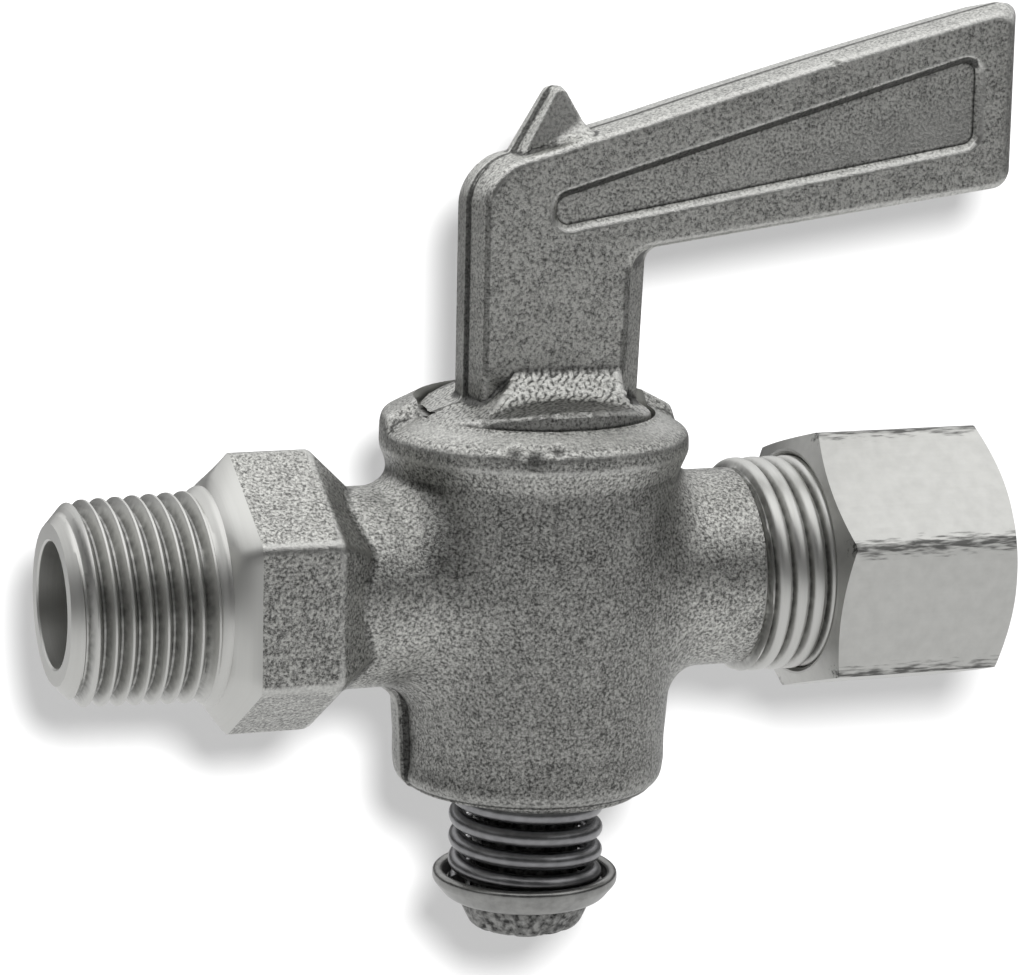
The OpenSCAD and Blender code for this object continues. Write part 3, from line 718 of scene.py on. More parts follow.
def mark_grooves(bm, groove_of):
    """Keeps how deep in a groove each point lies, for the grime and painted shade in its material."""
    layer = bm.verts.layers.float.new("groove")
    for vert in bm.verts:
        vert[layer] = groove_of(vert.co)


def hexagon_radius(angle):
    """Radius of the rounded wrench hexagon at an angle."""
    return HEX_HALF / float(hexagon_half(math.cos(angle), math.sin(angle)))


class COCK_OT_cut_pipe_thread(bpy.types.Operator):
    """Make the taper pipe thread with its chamfer, shank and the turned face of the hexagon"""
    bl_idname = "cock.cut_pipe_thread"
    bl_label = "Pipe thread"

    def execute(self, context):
        colours = context.scene.cock_colours
        pitch, depth = 1.411, 0.95
        runout, lofts, mouth = -30.4, 6, 6.6
        # One pitch of the thread, as (share of the pitch, height over the root)
        profile = [(0, 1), (0.06, 1), (0.12, 0.85), (0.24, 0.5), (0.36, 0.15), (0.44, 0.0), (0.56, 0.0),
                   (0.64, 0.15), (0.76, 0.5), (0.88, 0.85), (0.94, 1), (1, 1)]
        bm = bmesh.new()
        # The helix starts more than a turn outside the end, so that no gap is left when it is clamped.
        helix(bm, profile, pitch, PIPE_END_X - 2.2 * pitch + 0.35, 12)

        def crest_at(x):
            """Crest radius of the taper thread, which grows by 1 mm in 32."""
            return 8.39 + (x + 39.2) / 32

        def radius_at(x, height):
            top = crest_at(x)
            chamfer = mouth + (x - PIPE_END_X) * 1.5 / 1.4
            rise = np.interp(x, (runout, SHANK_X - 0.3), (top - depth, SHANK_R))
            return min(max(top - depth * (1 - height), rise), chamfer, SHANK_R)
        shape_thread(bm, PIPE_END_X, SHANK_X, radius_at)
        # The shank flares into the hexagon's outer face, turned from the round to the six corners.
        flare = []
        for t in (k / lofts for k in range(1, lofts + 1)):
            flare.append((SHANK_X + (HEX_OUTER_X - SHANK_X) * t,
                          lambda angle, s=t ** 0.75: (1 - s) * SHANK_R + s * hexagon_radius(angle)))
        inside = HEX_OUTER_X + 0.3
        carry_on(bm, SHANK_X, flare + [(HEX_OUTER_X, 7.5), (inside, INLET_R + 0.4), (inside, INLET_R)])
        carry_on(bm, PIPE_END_X, [(PIPE_END_X, mouth - 0.3), (PIPE_END_X, INLET_R + 0.15),
                                  (PIPE_END_X + 0.15, INLET_R), (inside, INLET_R)])
        tidy(bm, 1e-3)

        def groove_of(place):
            around = math.hypot(place.y, place.z)
            if place.x > SHANK_X or place.x < PIPE_END_X + 1.2 or around < mouth - 0.1:
                return 0
            return min(max((crest_at(place.x) - around) / depth, 0), 1)
        mark_grooves(bm, groove_of)
        finish_piece("pipe_thread", bm, [turned_brass(colours)], "body", crease=40)
        return {"FINISHED"}


class COCK_OT_cut_tube_thread(bpy.types.Operator):
    """Make the straight thread and the mouth that take the compression nut and its sleeve"""
    bl_idname = "cock.cut_tube_thread"
    bl_label = "Tube thread"

    def execute(self, context):
        colours = context.scene.cock_colours
        pitch, depth, crest, least = 1.6, 0.7, 9.2, 8.2
        inside, stop = TUBE_THREAD_X + 0.2, BODY_END_X - 1.5
        profile = [(0, 1), (0.12, 0.99), (0.22, 0.93), (0.3, 0.8), (0.36, 0.6), (0.42, 0.25), (0.48, 0),
                   (0.52, 0), (0.58, 0.25), (0.64, 0.6), (0.7, 0.8), (0.78, 0.93), (0.88, 0.99), (1, 1)]
        bm = bmesh.new()
        helix(bm, profile, pitch, TUBE_THREAD_X - 1.4 * pitch, 12)

        def radius_at(x, height):
            lead = least - 0.1 + (x - TUBE_THREAD_X) * 3
            chamfer = least + (BODY_END_X - x) * 1.2
            return min(crest - depth * (1 - height), lead, chamfer)
        shape_thread(bm, TUBE_THREAD_X, BODY_END_X, radius_at)
        # The sleeve's seat is a cone in the mouth, and the tube runs on to the end of its socket.
        carry_on(bm, BODY_END_X, [(BODY_END_X, 7.55), (stop, 7.05), (stop, SOCKET_R),
                                  (SOCKET_X, SOCKET_R), (SOCKET_X, WATERWAY_R), (inside, WATERWAY_R)])
        carry_on(bm, TUBE_THREAD_X, [(TUBE_THREAD_X, 6.0), (inside, WATERWAY_R)])
        tidy(bm, 1e-3)

        def groove_of(place):
            around = math.hypot(place.y, place.z)
            return min(max((crest - around) / depth, 0), 1) if around > least else 0
        mark_grooves(bm, groove_of)
        finish_piece("tube_thread", bm, [turned_brass(colours)], "body", crease=40)
        return {"FINISHED"}


# ---------------------------------------------------------------- lever and plug

STEM_BACK_X, STEM_FRONT_X = -6.25, 8.85
ARM_X, ARM_TOP_Z, ARM_UNDER_Z = 8.9, 39.05, 27.8  # where the arm leaves the stem
TOP_RISE, UNDER_RISE = math.radians(15.3), math.radians(7.7)


def top_edge(x):
    """Top of the arm at the parting plane."""
    return ARM_TOP_Z + (x - ARM_X) * math.tan(TOP_RISE)


def under_edge(x):
    """Underside of the arm at the parting plane."""
    return ARM_UNDER_Z + (x - ARM_X) * math.tan(UNDER_RISE)


PARTING_LAND = 0.3  # half the width of the flat land where the dies met
ARM_DRAFT = 0.105
APRON = 21.1  # y plus z of the slope before the stem

# Corners of the sunk panels and of the fin, as (x, z). PANEL_X holds the panels' two ends.
PANEL_X = (0.6, 38.4)
PANEL = [(PANEL_X[0], 30.0), (PANEL_X[1], under_edge(PANEL_X[1]) + 4.5),
         (PANEL_X[1], top_edge(PANEL_X[1]) - 3.7), (PANEL_X[0], 32.3)]
FIN = rounded([(-2.95, 33), (-2.95, 35.3), (1.15, 42.2), (4.3, 37.0), (4.3, 33)], [0, 0, 0.8, 0, 0])


def widened(points, by):
    """An outline, drawn anticlockwise, with each side moved out."""
    moved = []
    for i, point in enumerate(points):
        lines = []
        for a, b in ((points[i - 1], point), (point, points[(i + 1) % len(points)])):
            run = np.array(b, float) - a
            out = np.array((run[1], -run[0])) / np.linalg.norm(run)
            lines.append((out, out @ np.array(a) + by))
        moved.append(np.linalg.solve([lines[0][0], lines[1][0]], [lines[0][1], lines[1][1]]))
    return moved


def panel_cutter(depth, side):
    """What the die leaves out of one side of the arm: a flat floor with rounded walls."""
    bm = bmesh.new()
    rings = []
    # Each ring lies this far out from the panel's corners, and at this share of its depth
    for out, rise in ((-0.3, 0), (0, 0), (0.08, 0.25), (0.3, 0.6), (0.48, 0.88), (0.7, 1), (0.9, 1.5)):
        y = LEVER_HALF_T - depth + rise * depth
        rings.append([bm.verts.new((x, side * y, z))
                      for x, z in rounded(widened(PANEL, out), [1 + out] * 4)])
    for inner, outer in zip(rings, rings[1:]):
        for k, vert in enumerate(inner):
            bm.faces.new((inner[k - 1], vert, outer[k], outer[k - 1]))
    bm.faces.new(rings[0])
    bm.faces.new(rings[-1])
    tidy(bm)
    return bm


def panel_sheen_and_shade(bm, depth):
    """Lightens the panels' walls toward their brims as painted highlight, and darkens the walls that face
    down and the foot of every wall as painted shade.
    """
    wear_sheen_and_shade = bm.verts.layers.float["wear_sheen_and_shade"]
    for vert in bm.verts:
        walls = [f for f in vert.link_faces if f.material_index == 1 and abs(f.normal.y) < 0.999]
        if walls:
            rise = (abs(vert.co.y) - LEVER_HALF_T + depth) / depth
            up = sum(f.normal.z for f in walls) / len(walls)
            vert[wear_sheen_and_shade] = -1 if rise < 0.1 or up < -0.3 and rise < 0.9 else min(max(rise, 0), 1)


def lever_sheen_and_shade(bm):
    """Lightens the fin as painted highlight, and darkens lines beside the stem's flats and the collar as
    painted shade.
    """
    wear_sheen_and_shade = bm.verts.layers.float["wear_sheen_and_shade"]
    for vert in bm.verts:
        x, y, z = vert.co
        if abs(y) > 2.4 and 17.8 < z < 34:
            # The flat sides of the stem end in a line of painted shade before its back and its front
            # edge.
            front = 6.5 + (z - 14) / 28
            if abs(x + 5.5) < 0.22 or abs(x - front) < 0.4 and z < 26.5:
                vert[wear_sheen_and_shade] = min(vert[wear_sheen_and_shade], -0.55)
        # The fin is lightened as painted highlight.
        elif z > top_edge(x) + 0.2 and x < 5.5 and abs(y) > 0.8:
            vert[wear_sheen_and_shade] = 0.6
        # The collar is darkened as painted shade.
        elif z < 16.5 and abs(y) + z > APRON + 0.2:
            vert[wear_sheen_and_shade] = min(vert[wear_sheen_and_shade], -0.5)


def lever_blank():
    """Collar, apron, stem with arm, and fin as plain overlapping solids, near to lever_shape."""
    bm = bmesh.new()
    turned(bm, [(0, COLLAR_FOOT_Z), (COLLAR_R, COLLAR_FOOT_Z), (COLLAR_R, 15), (3, 16.2), (0, 16.2)],
           steps=48)
    plate(bm, [(-5.3, 14), (6.2, 14), (6.2, 16.8), (-4.4, 16.8)], 4)
    plate(bm, [(-6.4, 14), (8.9, 14), (9.4, 28.1), (TIP_X, under_edge(TIP_X)), (TIP_X, top_edge(TIP_X)),
               (-6.4, top_edge(-6.4))], LEVER_HALF_T)
    plate(bm, [(-3.2, 34), (4.9, 34), (4.9, 37.8), (0.95, 42), (-3.2, 35.4)], 1.5)
    tidy(bm)
    return bm


def lever_shape(sizes):
    """The distance from the forged lever and collar."""
    slip = mm(sizes.lever_slip)
    edge = mm(sizes.lever_edge)

    def distance(p):
        x, y, z = p.T
        around = np.hypot(x, y)
        x = x + slip * np.tanh(y / 0.08)
        side = np.abs(y)
        # Each side leans in by its own draft, so that the dies come off. The flat land along the
        # parting plane has none. The last factor of each line makes it a true distance.
        off = np.maximum(side - PARTING_LAND, 0)
        bow = 0.25 * np.clip(1 - ((x - 25) / 17) ** 2, 0, 1)
        top = (z - top_edge(x) - bow + ARM_DRAFT * off) * math.cos(TOP_RISE)
        under = (under_edge(x) - z + ARM_DRAFT * off) * math.cos(UNDER_RISE)
        tip = (x - TIP_X + slip + 0.56 * off) * 0.873
        back = (STEM_BACK_X + 0.13 * off - x) * 0.992
        spread = np.clip((z - 14) / 14, 0, 1) * 0.5
        front = (x - STEM_FRONT_X - spread + 0.87 * off) * 0.754
        # The stem's front and the arm's underside are joined in the inner corner of the lever.
        limb = joined(front, under, 1.4)
        limb = common(common(common(top, back, 3.2), tip, 1.6), limb, 1.2)
        limb = common(limb, side - LEVER_HALF_T, edge)
        slope = (side - 1.2 - 0.08 * (41.5 - z)) * 0.997
        fin = common(outline_distance(x, z, FIN) + 0.2 * side, slope, 0.15)
        # The fin's fillet into the arm is wide only beside its front half.
        web = np.clip((x + 0.6) / 3, 0, 1) * np.clip((5 - x) / 2, 0, 1)
        limb = joined(limb, fin, 0.12 + 1.6 * web * np.clip((side - 0.7) / 0.8, 0, 1))
        limb = np.maximum(limb, 13.2 - z)
        # The collar's top falls to the front and back, and more to the sides. Its die was rough there.
        chips = np.sin(6.1 * x + 2.3 * np.sin(4.3 * y)) * np.sin(5.2 * y + 1.7 * np.sin(3.7 * x))
        crown = z - 16.15 + 0.05 * side + 0.02 * x * x - 0.05 * chips
        crown = crown / np.sqrt(1.003 + (0.04 * x) ** 2)
        collar = np.maximum(common(around - COLLAR_R, crown, 0.35), COLLAR_FOOT_Z - z)
        # A rough apron at 45 degrees leads from the stem's flats to the collar.
        apron = (side + z - APRON - 0.07 * chips) * 0.7071
        apron = np.maximum(np.maximum(apron, (-5.4 + 1.1 * (z - 15.8) - x) * 0.67), x - 6.3)
        return joined(joined(limb, np.maximum(apron, 14 - z), 0.3), collar, 0.5)
    return distance


def lug_way():
    """The groove under the collar's edge, in which the body's stop lug runs for a quarter turn."""
    first, last = math.radians(LUG_FIRST - 90 - 3.5), math.radians(LUG_LAST + 2.5)
    foot, roof, inner, outer = COLLAR_FOOT_Z - 1, 14.5, LUG_R - 0.3, COLLAR_R + 1
    sector = bmesh.new()
    turned(sector, [(inner, foot), (outer, foot), (outer, roof), (inner, roof), (inner, foot)],
           steps=40, angle=last - first, start=first)
    way = bmesh.new()
    closed_into(way, sector)
    return way


class COCK_OT_forge_lever(bpy.types.Operator):
    """Make the forged lever: collar, stem, arm with its sunk panels, and fin"""
    bl_idname = "cock.forge_lever"
    bl_label = "Forged lever"

    def execute(self, context):
        sizes, colours = context.scene.cock_sizes, context.scene.cock_colours
        skin = forged_skin(lever_blank(), lever_shape(sizes), mm(sizes.forging_cell))
        depth = mm(sizes.panel_depth)
        skin = bored(skin, panel_cutter(depth, -1), panel_cutter(depth, 1))
        panel_sheen_and_shade(skin, depth)
        lever_sheen_and_shade(skin)
        skin = bored(skin, lug_way())
        # The cut walls have placed the panels' painted highlight and shade.
        # The whole lever has one finish.
        for face in skin.faces:
            face.material_index = 0
        strike(skin, "arm_nick", "foot_pit")
        finish_piece("lever_forging", skin, [
            forged_brass(colours, "forged_brass_lever", 0.33, 0.75)], "plug",
                     ["plug_lever"])
        return {"FINISHED"}


class COCK_OT_turn_plug(bpy.types.Operator):
    """Make the tapered plug with its port, tail and riveted end"""
    bl_idname = "cock.turn_plug"
    bl_label = "Tapered plug"

    def execute(self, context):
        colours = context.scene.cock_colours
        rivet_r, tail_r, plug_r = 5.5, 4.5, BORE_TOP_R - PLUG_GAP
        rivet_z, shoulder_z, top_z = RIVET_FOOT_Z + 0.01, FOOT_Z + 1, 13.2
        end = rounded([(0, rivet_z), (4.6, rivet_z), (rivet_r, RIVET_FOOT_Z + 2), (rivet_r, CUP_FOOT_Z)],
                      [0, 1.6, 0.6, 0])
        bm = lathed([*end, (tail_r, CUP_FOOT_Z), (tail_r, shoulder_z), (5.26, shoulder_z),
                     (plug_r, RECESS_FLOOR_Z), (plug_r, top_z), (0, top_z)])
        # The port is a slot with round ends. It lies along the pipe, because the cock is open.
        wide, high, past = 3.8, 4.8, 16
        slot = bmesh.new()
        stadium = rounded([(-wide, -high), (wide, -high), (wide, high), (-wide, high)],
                          [wide - 0.01] * 4, 10)
        face = slot.faces.new([slot.verts.new((-past, y, z)) for y, z in stadium])
        raised = bmesh.ops.extrude_face_region(slot, geom=[face])["geom"]
        bmesh.ops.translate(slot, vec=(2 * past, 0, 0), verts=only(raised, bmesh.types.BMVert))
        tidy(slot)
        plug = bored(bm, slot)
        # The end is staked over the washer: a punch left eleven narrow dents and five broad ones.
        bmesh.ops.subdivide_edges(plug, cuts=1, use_grid_fill=True, edges=[
            e for e in plug.edges if max(v.co.z for v in e.verts) < CUP_FOOT_Z - 0.2])
        for vert in plug.verts:
            depth = min((CUP_FOOT_Z - 0.5 - vert.co.z) / 1.2, 1)
            if depth > 0:
                angle = math.atan2(vert.co.y, vert.co.x)
                bite = max(math.sin(11 * angle), 0) ** 3 * 0.16 + max(math.sin(5 * angle + 1), 0) * 0.1
                vert.co.x *= 1 - bite * depth * 0.35
                vert.co.y *= 1 - bite * depth * 0.35
        strike(plug, "punch_mark")
        # The tail below the barrel's foot takes the same dark finish as the staked end: painted shade
        # inside the spring.
        staked_end_shaded_tail = dull_metal("staked_end_and_shaded_tail", linear("#9a9a98"), 0.35, 0.55, 0.12, 0.55)
        for face in plug.faces:
            face.material_index = int(face.calc_center_median().z < FOOT_Z + 0.5)
        finish_piece("plug_turning", plug, [turned_brass(colours), staked_end_shaded_tail], "plug")
        return {"FINISHED"}


# ---------------------------------------------------------------- spring, washer, sleeve and nut

class COCK_OT_wind_spring(bpy.types.Operator):
    """Wind the left-hand spring that draws the plug into its taper"""
    bl_idname = "cock.wind_spring"
    bl_label = "Spring"

    def execute(self, context):
        colours = context.scene.cock_colours
        wire_r, coil_r, turns, start = 0.75, 5.85, 4.1, math.radians(133)
        # Both ends lie this far from what they bear on, and what stands past it is ground off.
        grind = 0.19
        drop = (FOOT_Z - CUP_FLOOR_Z) - 2 * grind
        steps = 300
        bm = bmesh.new()
        ring = bmesh.ops.create_circle(bm, cap_ends=True, segments=20, radius=wire_r)["verts"]
        place = (Matrix.Rotation(start, 4, "Z") @ Matrix.Translation((coil_r, 0, FOOT_Z - grind))
                 @ Matrix.Rotation(math.pi / 2, 4, "X"))
        bmesh.ops.transform(bm, matrix=place, verts=ring)
        bmesh.ops.spin(bm, geom=bm.verts[:] + bm.edges[:] + bm.faces[:], cent=(0, 0, 0), axis=(0, 0, 1),
                       angle=math.tau * turns, dvec=(0, 0, -drop / steps), steps=steps)
        for height, side in ((FOOT_Z, 1), (CUP_FLOOR_Z, -1)):
            bmesh.ops.holes_fill(bm, edges=cut_away(bm, (0, 0, height), (0, 0, side)), sides=0)
        tidy(bm)
        finish_piece("spring_coil", bm, [dull_metal("spring_wire_oiled", colours.wire, 0.25, 0.42)],
                     "plug", ["plug_spring"], crease=50)
        return {"FINISHED"}


class COCK_OT_press_cup(bpy.types.Operator):
    """Press the cup washer that holds the spring"""
    bl_idname = "cock.press_cup"
    bl_label = "Cup washer"

    def execute(self, context):
        colours = context.scene.cock_colours
        hole_r, inner_r, outer_r = 4.6, 7.0, 7.9
        outline = rounded(
            [(hole_r, CUP_FOOT_Z), (6.7, CUP_FOOT_Z), (outer_r, CUP_FOOT_Z + 1.5), (outer_r, CUP_TOP_Z),
             (inner_r, CUP_TOP_Z), (inner_r, CUP_FLOOR_Z), (hole_r, CUP_FLOOR_Z)],
            [0.1, 1.3, 0.6, 0.42, 0.42, 0.3, 0.1])
        bm = lathed([*outline, outline[0]])
        finish_piece("cup_pressing", bm, [dull_metal("pressed_brass_sheet", colours.pressed, 0.22, 0.4)],
                     "plug", ["cup_washer"])
        return {"FINISHED"}


class COCK_OT_turn_sleeve(bpy.types.Operator):
    """Turn the compression sleeve inside the nut"""
    bl_idname = "cock.turn_sleeve"
    bl_label = "Sleeve"

    def execute(self, context):
        colours = context.scene.cock_colours
        low, high = (corner.x * 1000 - PLUG_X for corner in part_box("sleeve"))
        middle, end_r, crown_r = (low + high) / 2, 6.85, 7.9
        outline = rounded(
            [(low, SOCKET_R), (low, end_r), (middle - 0.9, crown_r), (middle + 0.9, crown_r),
             (high, end_r), (high, SOCKET_R)], [0.05, 0.1, 0.5, 0.5, 0.1, 0.05])
        bm = lathed([*outline, outline[0]], "X")
        finish_piece("sleeve_ring", bm, [turned_brass(colours)], "tube_sleeve",
                     ["sleeve"])
        return {"FINISHED"}


class COCK_OT_mill_nut(bpy.types.Operator):
    """Make the hexagon nut with its chamfered ends and threaded bore"""
    bl_idname = "cock.mill_nut"
    bl_label = "Compression nut"

    def execute(self, context):
        colours = context.scene.cock_colours
        low, high = (corner.x * 1000 - PLUG_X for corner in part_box("tube_nut"))
        half, turn, corner_r = 10.5, math.radians(13.4), 12.12
        # Each end is chamfered by a cone, from its face's radius out to the corners over its run.
        first_r, last_r = 9.75, 9.45
        first_run, last_run = 0.95, 1.42
        thread_r, mouth_r, sleeve_r, socket = 9.25, 9.55, 7.15, high - 2.6
        columns = 180

        def from_flat(angle):
            """Angle from the middle of the nearest flat."""
            return (angle - turn + math.pi / 6) % (math.pi / 3) - math.pi / 6

        def flat_radius(angle):
            """Radius of the hexagon bar, its corners just broken."""
            return min(half / math.cos(from_flat(angle)), corner_r - 0.06)

        def cone_x(radius, foot, run, foot_r):
            """Where a chamfer's cone has a radius."""
            return foot + run * (radius - foot_r) / (corner_r - foot_r)
        bm = bmesh.new()
        ring = bmesh.ops.create_circle(bm, cap_ends=False, segments=columns, radius=first_r)["verts"]
        bmesh.ops.transform(bm, matrix=Matrix.Translation((low, 0, 0)) @ Matrix.Rotation(
            math.pi / 2, 4, "Y"), verts=ring)
        extruded(bm, bm.edges[:], [
            (lambda a: cone_x(flat_radius(a), low, first_run, first_r), flat_radius),
            (lambda a: cone_x(flat_radius(a), high, -last_run, last_r), flat_radius),
            (high, last_r), (high, SOCKET_R + 0.2), (high - 0.2, SOCKET_R),
            (socket, SOCKET_R), (socket, sleeve_r), (BODY_END_X + 2, thread_r),
            (low + 0.3, thread_r), (low, mouth_r), (low, first_r)])
        tidy(bm)
        # The attribute corner fades from 1 to 0 within this many millimetres of a corner.
        scuffed = 1.7
        layer = bm.verts.layers.float.new("corner")
        for vert in bm.verts:
            around = math.hypot(vert.co.y, vert.co.z)
            part = from_flat(math.atan2(vert.co.z, vert.co.y))
            away = abs(math.radians(30) - abs(part)) * around
            vert[layer] = max(1 - away / scuffed, 0) if around > half - 0.1 else 0
        finish_piece("compression_nut", bm, [milled_brass(colours)], "nut",
                     ["tube_nut"], crease=9)
        return {"FINISHED"}


# ---------------------------------------------------------------- camera, set and image points

# The camera, fitted to the image points: turn and rise about the object, roll, distance to the plug
# axis, shift of its place to the right and up, all in millimetres, and lens
CAMERA_TURN, CAMERA_RISE, CAMERA_ROLL = (math.radians(a) for a in (-20.35, 11.182, 1.175))
CAMERA_DISTANCE, CAMERA_ASIDE, CAMERA_UP = 332.989, -1.585, 7.512
CAMERA_LENS = 138.776
SENSOR = 36.0
FRAME_W, FRAME_H = 1024, 975

# Where each thing shows in the photograph: x and y, or None for the one that isn't used
IMAGE_POINTS = {
    "left_edge": (31, None),
    "right_edge": (1019, None),
    "top_edge": (None, 3),
    "bottom_edge": (None, 940),
    "fin_tip": (553, 84),
    "rim_left": (380, None),
    "rim_right": (693, None),
    "hexagon_top": (None, 452),
    "hexagon_foot": (None, 736),
    "nut_top": (None, 423),
    "nut_foot": (None, 686),
    "cup_left": (430, None),
    "cup_right": (616, None),
    "stem_left": (455, None),
    "arm_nick": (837, 62),
    "rim_pit_left": (515, 453),
    "rim_pit_middle": (536, 456),
    "rim_pit_right": (558, 451),
    "foot_pit": (500, 386),
    "punch_mark": (548, 935),
}

# Dents in the metal that are put where the photograph shows them: radius and depth in millimetres.
# PLACED takes where each came out, in metres.
DENTS = {"arm_nick": (0.5, 0.12), "rim_pit_left": (1.1, 0.14), "rim_pit_middle": (1.3, 0.16),
         "rim_pit_right": (0.9, 0.14), "foot_pit": (1.0, 0.15), "punch_mark": (0.6, 0.35)}
PLACED = {}


def camera_axes():
    """The camera's right, up and backward directions."""
    back = Vector((math.sin(CAMERA_TURN) * math.cos(CAMERA_RISE),
                   -math.cos(CAMERA_TURN) * math.cos(CAMERA_RISE), math.sin(CAMERA_RISE)))
    level = Vector((math.cos(CAMERA_TURN), math.sin(CAMERA_TURN), 0))
    over = back.cross(level)
    right = math.cos(CAMERA_ROLL) * level + math.sin(CAMERA_ROLL) * over
    up = -math.sin(CAMERA_ROLL) * level + math.cos(CAMERA_ROLL) * over
    return right, up, back


def camera_place():
    """Where the camera stands, in metres."""
    right, up, back = camera_axes()
    return (back * CAMERA_DISTANCE + right * CAMERA_ASIDE + up * CAMERA_UP
            + Vector((PLUG_X, 0, 0))) * 0.001


def seen_at(places):
    """Image x and y of an array of places in metres."""
    right, up, back = (np.array(v) for v in camera_axes())
    away = places - np.array(camera_place())
    scale = max(FRAME_W, FRAME_H) * CAMERA_LENS / SENSOR
    depth = -away @ back
    return np.stack([FRAME_W / 2 + scale * (away @ right) / depth,
                     FRAME_H / 2 - scale * (away @ up) / depth], 1)


def placed(tree, x, y):
    """Where the ray through an image point meets a mesh in millimetres, or the place nearest to it."""
    right, up, back = camera_axes()
    longest = max(FRAME_W, FRAME_H)
    ray = (right * (x - FRAME_W / 2) + up * (FRAME_H / 2 - y) - back * longest * CAMERA_LENS / SENSOR)
    ray.normalize()
    start = camera_place() * 1000 - Vector((PLUG_X, 0, 0))
    hit = tree.ray_cast(start, ray)
    return hit[:2] if hit[0] else tree.find_nearest(start + ray * CAMERA_DISTANCE)[:2]


def strike(bm, *names):
    """Dents a mesh at named image points. On a forged piece each dent is darkened as painted shade."""
    tree = BVHTree.FromBMesh(bm)
    wear_sheen_and_shade = bm.verts.layers.float.get("wear_sheen_and_shade")
    for name in names:
        radius, depth = DENTS[name]
        place, normal = placed(tree, *IMAGE_POINTS[name])
        PLACED[name] = (place + Vector((PLUG_X, 0, 0))) * 0.001
        for vert in bm.verts:
            near = (vert.co - place).length / radius
            if near < 1:
                vert.co -= normal * depth * (1 - near * near)
                if wear_sheen_and_shade:
                    vert[wear_sheen_and_shade] = min(vert[wear_sheen_and_shade], near - 1)


def facing_card(name, centre, normal, width, height, material):
    """A flat card of the set, facing along its normal."""
    bm = bmesh.new()
    bmesh.ops.create_grid(bm, x_segments=1, y_segments=1, size=0.5)
    turn = Vector(normal).to_track_quat("Z", "Y").to_matrix().to_4x4()
    bmesh.ops.transform(bm, matrix=Matrix.Translation(centre) @ turn @ Matrix.Diagonal(
        (width, height, 1, 1)), verts=bm.verts)
    card = as_object(name, bm, [material])
    return card


# The set, in metres. The overhead lamp's place counts from the middle of the barrel, the shadow
# lamp's from the camera, and heights and depths from the pipe axis.
BARREL_MIDDLE = Vector((PLUG_X, 0, 5)) * 0.001
OVERHEAD_PLACE, OVERHEAD_SIZE, OVERHEAD_POWER = Vector((0, -0.05, 0.42)), (0.8, 0.76), 0.85
SHADOW_LAMP_RIGHT, SHADOW_LAMP_UP, SHADOW_LAMP_SIZE, SHADOW_LAMP_POWER = 0.017, 0.022, 0.029, 2.8
BACKDROP_Y, BACKDROP_SIZE = 0.056, 0.6
FLOOR_Z, FLOOR_SIZE = -0.062, 1.6
# Cloths: radius, lowest and highest edge over the barrel's middle, direction from the camera's side
# and spread to both sides of it in degrees, and grey
CLOTHS = {"horizon_cloth": (0.30, -0.050, 0.125, 0, 115, "#585858"),
          "front_cloth": (0.28, 0.09, 0.29, 0, 42, "#3c3c3c"),
          "back_cloth": (0.30, -0.050, 0.055, 180, 65, "#585858")}


